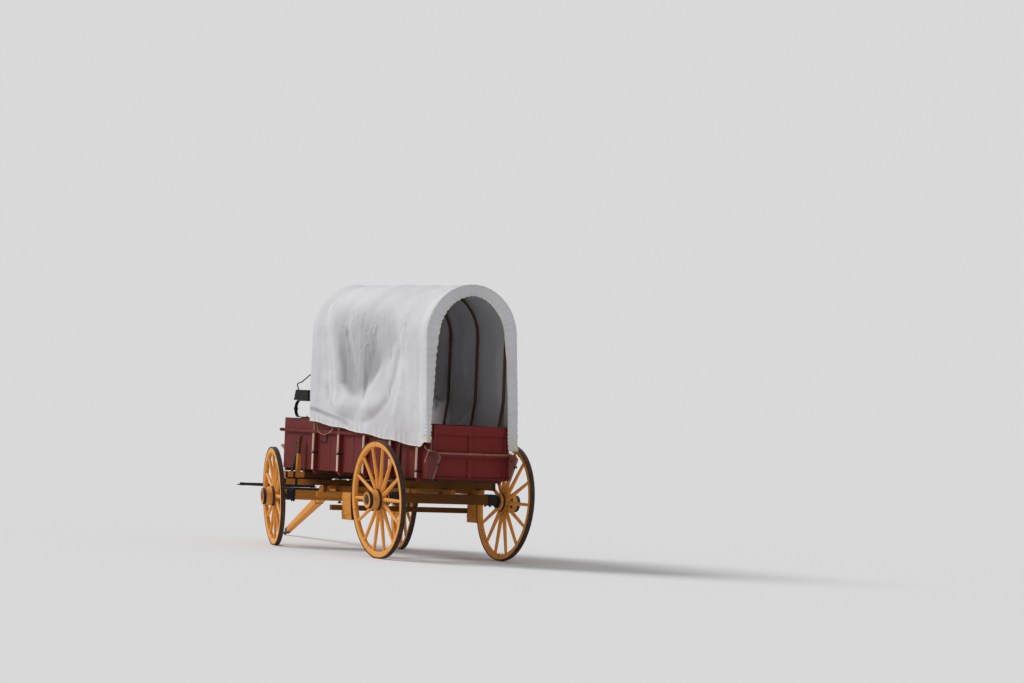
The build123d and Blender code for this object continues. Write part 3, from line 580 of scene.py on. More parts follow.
def headings(path: Sequence[Vector]) -> Iterator[tuple[Vector, Vector]]:
    """Gives each point of a path and the way that the path runs there.

    Args:
        path: Its points.

    Yields:
        A point and its heading.
    """
    for index, point in enumerate(path):
        before, after = path[max(index - 1, 0)], path[min(index + 1, len(path) - 1)]
        yield point, (after - before).normalized()


def carried(path: Sequence[Vector]) -> Iterator[tuple[Vector, Vector, Vector]]:
    """Carries a side along a path, turned as little as the path allows.

    Args:
        path: Its points.

    Yields:
        Each point, the side there and the way up.
    """
    side = (path[1] - path[0]).normalized().orthogonal().normalized()
    for point, heading in headings(path):
        side = (side - heading * side.dot(heading)).normalized()
        yield point, side, heading.cross(side)


def strand(line: Sequence[Vector], off: float, lay: float, phase: float) -> list[Vector]:
    """Winds one strand of a rope around its line.

    Args:
        line: The rope's middle.
        off: How far the strand's own middle is from it.
        lay: The length of one turn.
        phase: The share of a turn that it starts at.

    Returns:
        The strand's middle.
    """
    travelled, last, path = 0.0, line[0], []
    for point, side, up in carried(line):
        travelled += (point - last).length
        last = point
        angle = math.tau * (travelled / lay + phase)
        path.append(point + (side * math.cos(angle) + up * math.sin(angle)) * off)
    return path


class Form:
    """The vertices and faces of one piece while it is being shaped."""

    def __init__(self) -> None:
        """Starts an empty form."""
        self.points: list[Vector] = []
        self.faces: list[tuple[int, ...]] = []

    def loft(self, rings: Sequence[Sequence[Vector]], around: bool = True, capped: bool = True) -> None:
        """Skins rings of equal length.

        Args:
            rings: The rings, in order.
            around: Whether each ring is closed.
            capped: Whether the two ends are closed.
        """
        first, count = len(self.points), len(rings[0])
        for ring in rings:
            self.points.extend(ring)
        for low in range(first, first + (len(rings) - 1) * count, count):
            for index in range(count if around else count - 1):
                after = (index + 1) % count
                self.faces.append((low + index, low + after, low + count + after, low + count + index))
        if capped and around:
            last = first + (len(rings) - 1) * count
            self.faces.append(tuple(range(first + count - 1, first - 1, -1)))
            self.faces.append(tuple(range(last, last + count)))

    def tube(self, path: Sequence[Vector], radius: float, sides: int = 8) -> None:
        """Runs a round bar along a path."""
        self.loft([circle(point, side, up, radius, sides) for point, side, up in carried(path)])

    def turn(
        self, profile: Sequence[Pair], centre: Vector, axis: Vector, sides: int = 24, capped: bool = True
    ) -> None:
        """Turns a profile about an axis.

        Args:
            profile: Radius and place along the axis of each ring.
            centre: The point that the places are counted from.
            axis: The axis.
            sides: The number of sides.
            capped: Whether the two ends are closed.
        """
        axis = axis.normalized()
        side = axis.orthogonal().normalized()
        up = axis.cross(side)
        rings = [circle(centre + axis * along, side, up, radius, sides) for radius, along in profile]
        self.loft(rings, capped=capped)

    def hoop(self, low: Pair, high: Pair, thick: float, centre: Vector, axis: Vector) -> None:
        """Shrinks an iron hoop on a round piece.

        Args:
            low: Radius and place of its first edge.
            high: Radius and place of its last edge.
            thick: Its thickness.
            centre: The point that the places are counted from.
            axis: The axis.
        """
        edge, sunk = thick * 0.4, 0.002
        (low_r, low_z), (high_r, high_z) = low, high
        rise = [(low_r - sunk, low_z), (low_r + thick - edge, low_z), (low_r + thick, low_z + edge)]
        fall = [(high_r + thick, high_z - edge), (high_r + thick - edge, high_z), (high_r - sunk, high_z)]
        self.turn(rise + fall, centre, axis, 48, False)

    def box(self, low: Point, high: Point, carrier: Carrier = WAGON, edge: float = 0.002) -> None:
        """Adds a block with eased edges.

        Args:
            low: Its least x, y and z on the carrier.
            high: Its greatest.
            carrier: The frame that it is counted in.
            edge: How far its edges are eased.
        """
        (x0, y0, z0), (x1, y1, z1) = low, high
        rings = []
        for z, inset in ((z0, edge), (z0 + edge, 0.0), (z1 - edge, 0.0), (z1, edge)):
            corners = []
            for x, y, dx, dy in ((x0, y0, 1, 1), (x1, y0, -1, 1), (x1, y1, -1, -1), (x0, y1, 1, -1)):
                first = (x + dx * (inset + edge), y + dy * inset)
                second = (x + dx * inset, y + dy * (inset + edge))
                corners += [second, first] if dx == dy else [first, second]
            rings.append([carrier.at(a, b, z) for a, b in corners])
        self.loft(rings)

    def boxes(self, low: Point, high: Point, carrier: Carrier = WAGON, edge: float = 0.002) -> None:
        """Adds a block on the left and its like on the right.

        Args:
            low: The left one's least x, y and z on the carrier.
            high: Its greatest.
            carrier: The frame that it is counted in.
            edge: How far the edges are eased.
        """
        for side in SIDES:
            y0, y1 = sorted((side * low[1], side * high[1]))
            self.box((low[0], y0, low[2]), (high[0], y1, high[2]), carrier, edge)

    def straps(self, span_x: Pair, span_z: Pair, y: float, width: float, carrier: Carrier = WAGON) -> None:
        """Wraps two flat iron bands around a beam that runs along y.

        Args:
            span_x: The beam's two faces along x.
            span_z: Its two faces along z.
            y: The middle of the left band.
            width: The bands' width.
            carrier: The frame that they are counted in.
        """
        (x0, x1), (z0, z1) = span_x, span_z
        thick, sunk, half = 0.004, -0.001, width / 2
        for side in SIDES:
            rings = []
            for out, shift in ((sunk, -half), (thick, -half), (thick, half), (sunk, half)):
                back, fore, foot, top = x0 - out, x1 + out, z0 - out, z1 + out
                corners = ((back, foot), (fore, foot), (fore, top), (back, top))
                rings.append([carrier.at(x, side * y + shift, z) for x, z in corners])
            self.loft(rings, capped=False)

    def bar(self, path: Sequence[Vector], width: float, thick: float, across: Vector, edge: float) -> None:
        """Runs a flat bar with eased edges along a path.

        Args:
            path: Its points.
            width: Its width, along `across`.
            thick: Its thickness.
            across: The direction of its width.
            edge: How far its edges are eased.
        """
        half, deep = width / 2, thick / 2
        right = [(half, -deep + edge), (half, deep - edge), (half - edge, deep), (-half + edge, deep)]
        corners = right + [(-a, -b) for a, b in right]
        rings = []
        for point, heading in headings(path):
            wide = (across - heading * across.dot(heading)).normalized()
            rings.append([point + wide * a + heading.cross(wide) * b for a, b in corners])
        self.loft(rings)

    def bolt(self, spot: Vector, outward: Vector, size: float, square: bool = False) -> None:
        """Sets a bolt's head on a washer.

        Args:
            spot: The point on the surface.
            outward: The direction that the head faces.
            size: The head's radius.
            square: Whether the head is a square nut, rather than a round carriage head.
        """
        washer, rise = size * 1.45, size * 0.95
        ring = [(washer, -0.001), (washer, 0.0015), (washer - 0.001, 0.0025), (size * 0.5, 0.0025)]
        self.turn(ring, spot, outward, 16)
        if square:
            nut = [(size * 1.1, 0.002), (size * 1.1, rise - 0.0015), (rise, rise), (0.001, rise)]
            self.turn(nut, spot, outward, 4)
            end = [(size * 0.42, rise), (size * 0.42, rise + 0.006), (size * 0.3, rise + 0.008)]
            self.turn(end, spot, outward, 10)
        else:
            turns = (0.0, 0.35, 0.7, 1.05, 1.4)
            dome = [(size * math.cos(turn), 0.002 + size * 0.5 * math.sin(turn)) for turn in turns]
            self.turn(dome, spot, outward, 14)

    def bolts(
        self,
        spots: Iterable[Point],
        facing: Point,
        size: float,
        square: bool = False,
        carrier: Carrier = WAGON,
    ) -> None:
        """Sets bolts on the left and their like on the right.

        Args:
            spots: The places on the left, or in the middle, where there is one bolt.
            facing: The way that the left heads face.
            size: The heads' radius.
            square: Whether they are square nuts.
            carrier: The frame that all is counted in.
        """
        for x, y, z in spots:
            for side in SIDES if y else (1,):
                outward = carrier.way(facing[0], side * facing[1], facing[2])
                self.bolt(carrier.at(x, side * y, z), outward, size, square)

    def piece(
        self, name: str, material: Material, body: str, slot: str, sharp: float = 38.0
    ) -> bpy.types.Object:
        """Makes the piece, with its finish, and lets it ride.

        Args:
            name: The piece's name.
            material: Its finish.
            body: The body that it rides on.
            slot: Not used.
            sharp: The angle, in degrees, over which an edge stays sharp.

        Returns:
            The piece.
        """
        mesh = bpy.data.meshes.new(name)
        mesh.from_pydata([tuple(point) for point in self.points], [], self.faces)
        mesh.validate()
        mesh.polygons.foreach_set("use_smooth", [True] * len(mesh.polygons))
        mesh.set_sharp_from_angle(angle=math.radians(sharp))
        mesh.materials.append(material)
        made = add(name, mesh)
        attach(made, body)
        LOG.info("%s: %d faces", name, len(mesh.polygons))
        return made


def dress(node: str, material: Material, eased: float = 0.0) -> None:
    """Gives a solid of the frame its finish, and eases its edges.

    Args:
        node: The solid's name.
        material: Its finish.
        eased: The width of the eased edge, or 0 for none.
    """
    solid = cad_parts[node]
    solid.data.materials.clear()
    solid.data.materials.append(material)
    if eased:
        weld = solid.modifiers.new("weld", "WELD")
        weld.merge_threshold = 0.00002
        bevel = solid.modifiers.new("eased_edges", "BEVEL")
        bevel.width = eased
        bevel.segments = 2
        bevel.limit_method = "ANGLE"
        bevel.angle_limit = math.radians(50)
        normals = solid.modifiers.new("even_faces", "WEIGHTED_NORMAL")
        normals.keep_sharp = False


# the hem rope


@dataclass
class HemRope:
    """The slack end of the hem rope, which hangs in a loop on the side board."""

    diameter: float = 0.008
    length: float = 0.571
    strands: int = 3
    route: tuple[Point, ...] = (
        (2.300, 0.549, 1.482), (2.300, 0.549, 1.434), (2.268, 0.551, 1.388), (2.204, 0.552, 1.356),
        (2.122, 0.552, 1.343), (2.034, 0.552, 1.344), (1.950, 0.551, 1.362), (1.884, 0.550, 1.394),
        (1.850, 0.549, 1.420), (1.842, 0.549, 1.446),
    )

    def _line(self) -> list[Vector]:
        """Reads the smooth line of the rope from a spline along its route's points.

        Returns:
            The line's points.
        """
        curve = bpy.data.curves.new("hem_rope_line", "CURVE")
        curve.dimensions = "3D"
        curve.resolution_u = 12
        spline = curve.splines.new("NURBS")
        spline.points.add(len(self.route) - 1)
        for point, spot in zip(spline.points, self.route):
            point.co = (*WAGON.at(*spot), 1.0)
        spline.order_u = 3
        spline.use_endpoint_u = True
        holder = add("hem_rope_line", curve)
        bpy.context.view_layer.update()
        mesh = bpy.data.meshes.new_from_object(holder)
        line = [vertex.co.copy() for vertex in mesh.vertices]
        bpy.data.objects.remove(holder)
        bpy.data.meshes.remove(mesh)
        return line

    def build(self, hemp: Material) -> None:
        """Args:
            hemp: The rope's finish.
        """
        line = self._line()
        radius = self.diameter / 2
        thick = radius * 0.54
        form = Form()
        for index in range(self.strands):
            form.tube(strand(line, radius - thick, self.diameter * 3.6, index / self.strands), thick, 6)
        rope = form.piece("rope_loop", hemp, "root", "rope", 60.0)
        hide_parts("hem_rope")
        tuple(line[0])
        [tuple(point) for point in line]


# the bonnet


def ease(value: Array | float, low: float | Array, high: float | Array) -> Array:
    """Runs smoothly from 0 at low to 1 at high."""
    share = np.clip((value - low) / (high - low), 0, 1)
    return share * share * (3 - 2 * share)


def hump(value: Array, middle: float | Array, wide: float) -> Array:
    """Gives a soft hump of height 1."""
    return np.exp(-(((value - middle) / wide) ** 2))


@dataclass(frozen=True)
class Fold:
    """One soft fold of the cloth along a path of points, each a place along the wagon and a height."""

    path: tuple[Pair, ...]
    width: float
    rise: float

    def stands(self, x: Array, height: Array) -> Array:
        """Gives how far the cloth stands out, or in, at each point.

        Args:
            x: The place along the wagon of each point.
            height: Its height along the cloth.

        Returns:
            The distance, in metres.
        """
        gap = np.full_like(x, 9.0)
        for (x0, z0), (x1, z1) in zip(self.path, self.path[1:]):
            run_x, run_z = x1 - x0, z1 - z0
            share = np.clip(((x - x0) * run_x + (height - z0) * run_z) / (run_x**2 + run_z**2), 0, 1)
            gap = np.minimum(gap, np.hypot(x - x0 - share * run_x, height - z0 - share * run_z))
        return self.rise * hump(gap, 0.0, self.width)


def rise_of(folds: Iterable[Fold], x: Array, height: Array) -> Array:
    """Adds up folds over each point."""
    return sum((fold.stands(x, height) for fold in folds), np.zeros_like(x))


@dataclass
class Bonnet:
    """The canvas sheet over the bows, gathered at both ends.

    Heights run over the ground and then on around the arch. A curve is a row of heights with a place along
    the wagon, or a width, at each.
    """

    front: float = 2.520
    rear: float = -0.705
    arch_r: float = 0.5625
    arch_z: float = 2.515
    rim_in: float = 0.105
    bend: float = 0.024
    hem_front_z: float = 1.500
    hem_rear_z: float = 1.250
    first_bow: float = 2.470
    bow_spacing: float = 0.700
    crown_rise: Pair = (0.017, 0.033)
    mouth_lean: float = 0.062
    side_steps: int = 104
    arch_steps: int = 168
    wall_steps: int = 9
    body_step: float = 0.0168
    column_pitch: float = 0.0108
    # how deep the rear rim is at each share of the way around
    rear_rim: tuple[Pair, ...] = (
        (0.0, 0.044), (0.061, 0.050), (0.138, 0.083), (0.22, 0.106), (0.29, 0.148), (0.36, 0.142),
        (0.50, 0.124), (0.62, 0.160), (0.723, 0.160), (0.78, 0.136), (0.86, 0.128), (1.0, 0.126),
    )
    rear_half: tuple[Pair, ...] = (
        (1.250, 0.580), (1.360, 0.566), (1.800, 0.569), (2.200, 0.563), (2.515, 0.5625),
    )
    front_shore: tuple[Pair, ...] = (
        (1.74, 1.30), (1.84, 1.50), (1.95, 1.71), (2.15, 1.76), (2.50, 1.92), (2.84, 2.12),
    )
    rear_shore: tuple[Pair, ...] = (
        (1.74, 1.06), (1.83, 1.00), (1.96, 0.75), (2.17, 0.41), (2.44, 0.10), (2.62, 0.12), (2.84, 0.36),
    )
    # middle, width and rise of the two bellies under the hollow
    bellies: tuple[Row, ...] = ((1.50, 0.28, 0.052), (0.78, 0.24, 0.046))
    # middle, foot, width and share of the two light cones, where the painted shade in the hollow is lighter
    cones: tuple[Row, ...] = ((1.40, 2.05, 0.12, 0.36), (0.70, 2.10, 0.10, 0.18))
    arcs: tuple[Fold, ...] = (
        Fold(
            ((0.12, 2.36), (0.18, 2.16), (0.24, 1.98), (0.42, 1.74), (0.64, 1.61), (1.02, 1.50)),
            0.056,
            -0.016,
        ),
        Fold(((2.04, 1.88), (1.96, 1.75), (1.84, 1.64), (1.62, 1.55), (1.30, 1.51)), 0.058, -0.013),
    )
    crease: Fold = Fold(
        ((2.50, 1.645), (2.30, 1.610), (2.05, 1.572), (1.72, 1.530), (1.42, 1.475)), 0.024, -0.026
    )
    left_folds: tuple[Fold, ...] = (
        Fold(((2.20, 2.86), (2.02, 2.60), (1.86, 2.36), (1.78, 2.06), (1.72, 1.80)), 0.055, 0.016),
        Fold(((2.36, 2.60), (2.30, 2.20), (2.34, 1.80)), 0.070, 0.008),
        Fold(((2.12, 2.50), (2.04, 2.10), (2.02, 1.76)), 0.050, -0.008),
        Fold(((1.33, 2.80), (1.13, 2.62)), 0.026, 0.012),
        Fold(((1.18, 2.60), (1.13, 2.30), (1.15, 1.96)), 0.045, 0.010),
        Fold(((0.97, 2.30), (0.96, 1.86)), 0.030, 0.006),
        Fold(((1.60, 2.62), (1.55, 2.20)), 0.026, 0.010),
        Fold(((1.48, 2.64), (1.36, 2.36), (1.24, 2.10)), 0.055, 0.015),
        Fold(((1.36, 2.50), (1.30, 2.18)), 0.022, -0.006),
        Fold(((0.93, 2.56), (0.86, 2.05)), 0.030, 0.008),
        Fold(((0.80, 2.50), (0.86, 1.90)), 0.050, -0.006),
        Fold(((0.64, 2.62), (0.56, 2.36), (0.52, 2.08)), 0.060, 0.007),
        Fold(((0.40, 2.60), (0.32, 2.25)), 0.035, -0.008),
        Fold(((0.02, 2.74), (0.04, 2.40)), 0.050, 0.010),
        Fold(((0.00, 2.10), (0.04, 1.86), (0.16, 1.62)), 0.075, 0.012),
        Fold(((2.48, 1.580), (1.95, 1.512), (1.35, 1.405)), 0.023, 0.015),
        Fold(((-0.10, 2.40), (-0.28, 1.55)), 0.070, 0.008),
        Fold(((-0.42, 2.30), (-0.48, 1.45)), 0.050, -0.008),
        Fold(((-0.36, 2.62), (-0.58, 2.20)), 0.030, 0.006),
        Fold(((-0.50, 1.95), (-0.66, 1.55)), 0.025, 0.006),
    )
    right_folds: tuple[Fold, ...] = (
        Fold(((1.75, 2.60), (1.70, 1.80)), 0.050, 0.014),
        Fold(((1.40, 2.50), (1.45, 1.75)), 0.050, -0.014),
        Fold(((1.14, 2.50), (1.16, 1.80)), 0.034, 0.012),
        Fold(((0.99, 2.45), (0.97, 1.85)), 0.030, 0.010),
        Fold(((0.70, 2.50), (0.62, 1.80)), 0.050, -0.014),
        Fold(((0.42, 2.60), (0.44, 1.95)), 0.030, 0.012),
        Fold(((0.30, 1.85), (0.80, 1.55)), 0.050, 0.012),
        Fold(((2.20, 2.40), (2.10, 1.70)), 0.070, 0.010),
        Fold(((2.44, 1.60), (1.60, 1.43)), 0.024, -0.012),
        Fold(((-0.10, 2.30), (-0.20, 1.60)), 0.080, -0.010),
    )
    ties: tuple[Pair, ...] = (
        (1.58, 2.65), (1.44, 2.81), (1.03, 2.38), (0.78, 2.68), (0.70, 2.76), (0.93, 2.58), (0.07, 2.70),
        (1.24, 2.74),
    )
    # how far ahead and down each wrinkle runs from its tie, its width and its rise
    wrinkles: tuple[Row, ...] = (
        (0.045, -0.110, 0.018, 0.0110), (-0.030, -0.130, 0.017, -0.0090), (-0.085, -0.070, 0.017, 0.0100),
        (0.105, -0.045, 0.017, -0.0080), (-0.060, 0.050, 0.014, 0.0070), (0.050, 0.040, 0.014, -0.0060),
    )

    def half_width(self, z: Array) -> Array:
        """Gives the sheet's half width at a height of the sides."""
        return self.arch_r - 0.020 * np.clip((1.8 - z) / 0.57, 0, 1.1)

    def hem_z(self, x: float) -> float:
        """Gives the hem's height, which rises to the front and sags a little from bow to bow.

        Args:
            x: A place along the wagon.

        Returns:
            The height.
        """
        along = x - self.rear
        slope = (self.hem_front_z - self.hem_rear_z) / (self.front - self.rear)
        sag = 0.006 * math.sin(along * math.tau / self.bow_spacing)
        return self.hem_rear_z + slope * along + sag + 0.003

    def _stations(self) -> tuple[Array, Array]:
        """Places the sheet's rows.

        Returns:
            Each row's place along the wagon, and how far it is turned in from the arch.
        """
        share = np.linspace(0, 1, self.wall_steps)
        turn = math.pi / 8 * np.arange(1, 4)
        start = np.concatenate([0.0025 * (1 - share), self.bend * (1 - np.cos(turn))])
        wall = self.rim_in + (self.bend - self.rim_in) * share
        inset = np.concatenate([wall, self.bend * (1 - np.sin(turn))])
        count = round((self.front - self.rear - 2 * self.bend) / self.body_step)
        body = np.linspace(self.rear + self.bend, self.front - self.bend, count + 1)
        xs = np.concatenate([self.rear + start, body, self.front - start[::-1]])
        return xs, np.concatenate([inset, np.zeros(count + 1), inset[::-1]])

    def _well(self, x: Array, height: Array, soft: float) -> Array:
        """Gives how far a point lies inside the hollow of the side, from 0 to 1 over a soft shore.

        Args:
            x: The place along the wagon of each point.
            height: Its height along the cloth.
            soft: The width of the shore.

        Returns:
            The share.
        """
        ahead = np.interp(height, *zip(*self.front_shore)) - x
        behind = x - np.interp(height, *zip(*self.rear_shore))
        inside = ease(ahead, -0.02, soft) * ease(behind, -0.08, soft * 2.2)
        return inside * ease(height, 1.76, 1.76 + soft * 0.6) * (1 - ease(height, 2.62, 3.00))

    def _swell(self, x: Array, height: Array, left: bool) -> Array:
        """Gives how far the cloth stands out of its plain surface.

        Args:
            x: The place along the wagon of each point.
            height: Its height along the cloth.
            left: Whether this is the left side.

        Returns:
            The distance, in metres.
        """
        behind = ((self.first_bow - x) / self.bow_spacing) % 1.0
        trough = np.sin(math.pi * np.clip((behind - 0.03) / 0.94, 0, 1) ** 0.66) ** 1.5
        swell = -0.011 * trough * ease(height, 2.50, 3.0) - 0.010 * trough * ease(x, 1.85, 2.1)
        pocket = self._well(x, height, 0.16) * (1 - 0.85 * ease(height, 2.16, 2.72))
        swell -= (0.056 if left else 0.040) * pocket * trough + 0.005 * pocket
        for middle, wide, rise in self.bellies:
            swell += (rise if left else rise * 0.5) * hump(height, 1.69, 0.12) * hump(x, middle, wide)
        valley = ease(height, 1.70, 1.90) * (1 - ease(height, 1.94, 2.20)) * hump(x, 1.00, 0.065)
        swell -= (0.020 if left else 0.008) * valley
        swell += 0.012 * hump(x, -0.05, 0.35) * hump(height, 1.62, 0.20)
        folds = (*self.left_folds, *self.arcs, self.crease) if left else self.right_folds
        return swell + rise_of(folds, x, height)

    def _hollow(self, x: Array, height: Array, left: Array) -> Array:
        """Gives how much painted shade darkens the cloth: in the hollow of the left side, round its bellies
        and over its hem, and a little in the hollow of the right side.

        Args:
            x: The place along the wagon of each point.
            height: Its height along the cloth.
            left: Whether it is on the left side.

        Returns:
            The share, from 0 to 1.
        """
        well = self._well(x, height, 0.13) * (1 - 0.22 * ease(height, 2.20, 2.50))
        for middle, foot, wide, share in self.cones:
            cone = hump(x, middle + 0.25 * (height - 2.35), wide)
            well *= 1 - share * cone * ease(height, foot, foot + 0.25)
        valley = hump(x, 1.00, 0.060) * ease(height, 1.74, 1.82) * (1 - ease(height, 2.26, 2.42))
        well = np.maximum(well, valley)
        arc = np.clip(-rise_of(self.arcs, x, height) / 0.016, 0, 1) * ease(height, 1.42, 1.58)
        crease = np.clip(-self.crease.stands(x, height) / 0.022, 0, 1)
        dull = np.maximum(np.maximum(well, crease), 0.34 * arc)
        return np.where(left, np.clip(dull, 0, 1), 0.12 * well)

    def _tie_pull(self, x: Array, height: Array) -> Array:
        """Gives the dimple at each tie, and the wrinkles that hang from it.

        Args:
            x: The place along the wagon of each point.
            height: Its height along the cloth.

        Returns:
            How far the cloth stands out.
        """
        pull = np.zeros_like(x)
        for index, (tie_x, tie_z) in enumerate(self.ties):
            lean = 0.75 + 0.5 * ((index * 0.37) % 1.0)
            folds = [
                Fold(((tie_x, tie_z), (tie_x + ahead * lean, tie_z + down / lean)), width, rise)
                for ahead, down, width, rise in self.wrinkles[index % 3 :]
            ]
            pull += rise_of(folds, x, height)
            pull += 0.010 * hump(np.hypot(x - tie_x, height - tie_z), 0.0, 0.018)
        return pull

    def _rim_depth(self, inset: float, around: Array) -> Array:
        """Gives how far each column of a rear row is turned in: further over the top and on the right."""
        full = np.interp(around, *zip(*self.rear_rim))
        return self.bend + (inset - self.bend) * (full - self.bend) / (self.rim_in - self.bend)

    def _floor_of_swell(self, x: float, height: Array) -> Array:
        """Gives how far in the cloth may go: it lies on the bows, the cleats and the rail.

        Args:
            x: The row's place along the wagon.
            height: The height of each point along the cloth.

        Returns:
            The least swell.
        """
        off_bow = abs((self.first_bow - x + self.bow_spacing / 2) % self.bow_spacing - self.bow_spacing / 2)
        at_bow = 0.005 + 0.030 * np.clip((1.78 - height) / 0.28, 0, 1) * ease(height, 1.42, 1.52)
        return -at_bow - (0.052 - at_bow) * ease(off_bow, 0.024, 0.075) * ease(height, 1.40, 1.56)

    def _ruffle(self, column: Array, rear: bool) -> Array:
        """Gives the uneven gathers along the drawn rim, from -1 to 1.

        Args:
            column: The sheet's columns.
            rear: Whether this is the rear rim.

        Returns:
            The gathers.
        """
        row, strays, strong = (1.7, 5.0, 1.0) if rear else (5.2, 9.0, 0.45)
        wander = np.array([noise.noise(Vector((c * 0.048, row, 0.0))) for c in column])
        wave = np.sin(column * self.column_pitch * math.tau / 0.082 + wander * strays)
        return np.sign(wave) * np.abs(wave) ** 0.8 * (0.75 + 0.5 * wander) * strong

    def _ripple(self, x: float, column: Array) -> Array:
        """Gives the small unevenness of the cloth along a row, at three sizes."""
        sizes = ((2.6, 0.044, 3.1, 0.007), (7.0, 0.096, 8.7, 0.0032), (15.0, 0.21, 2.2, 0.0012))
        return sum(
            np.array([noise.noise(Vector((x * along, c * around, layer))) for c in column]) * rise
            for along, around, layer, rise in sizes
        )

    def _grid(self) -> tuple[Array, Array]:
        """Shapes the sheet.

        Returns:
            Its points, by row and column, and how much painted shade darkens it at each.
        """
        xs, insets = self._stations()
        columns = 2 * self.side_steps + self.arch_steps + 1
        points, hollow = np.zeros((len(xs), columns, 3)), np.zeros((len(xs), columns))
        column = np.arange(columns)
        around = column / (columns - 1)
        left, right = column < self.side_steps, column > self.side_steps + self.arch_steps
        beside = left | right
        on_left = column <= columns // 2
        turn = np.clip((column - self.side_steps) / self.arch_steps, 0, 1) * math.pi
        climb = np.where(left, column, columns - 1 - column) / self.side_steps
        for row, (x, inset) in enumerate(zip(xs, insets)):
            rear = x < 1.0
            body_x = min(max(x, self.rear + 0.02), self.front - 0.02)
            corner, overhang = ease(-body_x, 0.50, 0.68), ease(-body_x, 0.36, 0.68)
            crown = self.crown_rise[0] + self.crown_rise[1] * min(max(body_x / self.front, 0.0), 1.0) ** 0.8
            hem = self.hem_z(body_x) + corner * np.where(on_left, 0.072, 0.006)
            z = hem + (self.arch_z - hem) * np.where(beside, climb, 1.0)
            wide = self.half_width(z) * (1 - overhang) + np.interp(z, *zip(*self.rear_half)) * overhang
            height = np.where(beside, z, self.arch_z + self.arch_r * np.minimum(turn, math.pi - turn))
            spread = np.full(columns, x)
            swell = np.where(on_left, self._swell(spread, height, True), self._swell(spread, height, False))
            swell = swell + self._tie_pull(spread, height) * np.where(on_left, 1.0, 0.6)
            low = ease(height, hem + 0.02, hem + 0.16)
            swell = swell * low + 0.004 * (1 - low) * np.sin(x * 37 + 1.5 * np.sin(x * 11))
            end = min(x - self.rear, self.front - x)
            ruffle = self._ruffle(column, rear)
            gathered = hump(z, hem + 0.10, 0.13) * corner * beside
            swell = swell * min(1.0, max(0.0, (end - 0.02) / 0.20))
            swell = swell + 0.0032 * ruffle * math.exp(-max(end, 0) / 0.09)
            swell = swell + 0.0060 * gathered * np.sin(height * 150 + 3 * np.sin(x * 31))
            swell = swell + self._ripple(x, column) * (0.35 + 0.65 * np.clip(end / 0.3, 0, 1))
            swell = np.maximum(swell, self._floor_of_swell(x, height))
            deep = self._rim_depth(inset, around) if rear and inset > self.bend else np.full(columns, inset)
            if inset > 0 and not rear:
                deep = np.where((z < 1.535) & beside, np.minimum(inset, wide - 0.499), inset)
            reach = wide + swell - deep
            pleat = 0.0065 * ruffle * np.clip(deep / self.rim_in, 0, 1) ** 0.7
            lean = self.mouth_lean * overhang * np.clip((z - 1.36) / 1.29, 0, 1)
            points[row, :, 0] = x + (pleat if inset > 0.02 else 0)
            points[row, :, 1] = np.where(left, reach, np.where(right, -reach, reach * np.cos(turn))) + lean
            over = self.arch_z + (reach + crown * np.sin(turn)) * np.sin(turn)
            points[row, :, 2] = np.where(beside, z, over)
            # painted shade, deeper where the cloth goes further in
            hollow[row] = self._hollow(spread, height, on_left) * (0.75 + 0.25 * np.clip(-swell / 0.04, 0, 1))
        return points, hollow

    def build(self, canvas: Material, hem: Material, ties: list[bpy.types.Object]) -> None:
        """Makes the sheet and its rolled hem.

        Args:
            canvas: The cloth's finish.
            hem: The hem's finish.
            ties: Not used.
        """
        points, hollow = self._grid()
        rows = [[Vector(point) for point in row] for row in points - np.array(ORIGIN)]
        form, rolled = Form(), Form()
        form.loft(rows, around=False, capped=False)
        sheet = form.piece("canvas_sheet", canvas, "root", "canvas", 180.0)
        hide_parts("bonnet")
        # the cloth's painted shade, kept as a point attribute that the canvas material reads
        depth = sheet.data.attributes.new("hollow", "FLOAT", "POINT")
        depth.data.foreach_set("value", hollow.ravel())
        edge = [row[0] for row in rows] + rows[-1][1:] + [row[-1] for row in reversed(rows[:-1])]
        edge += list(reversed(rows[0][1:-1]))
        rolled.tube(edge + edge[:2], 0.0055, 8)
        binding = rolled.piece("canvas_hem", hem, "root", "canvas", 60.0)


# studio


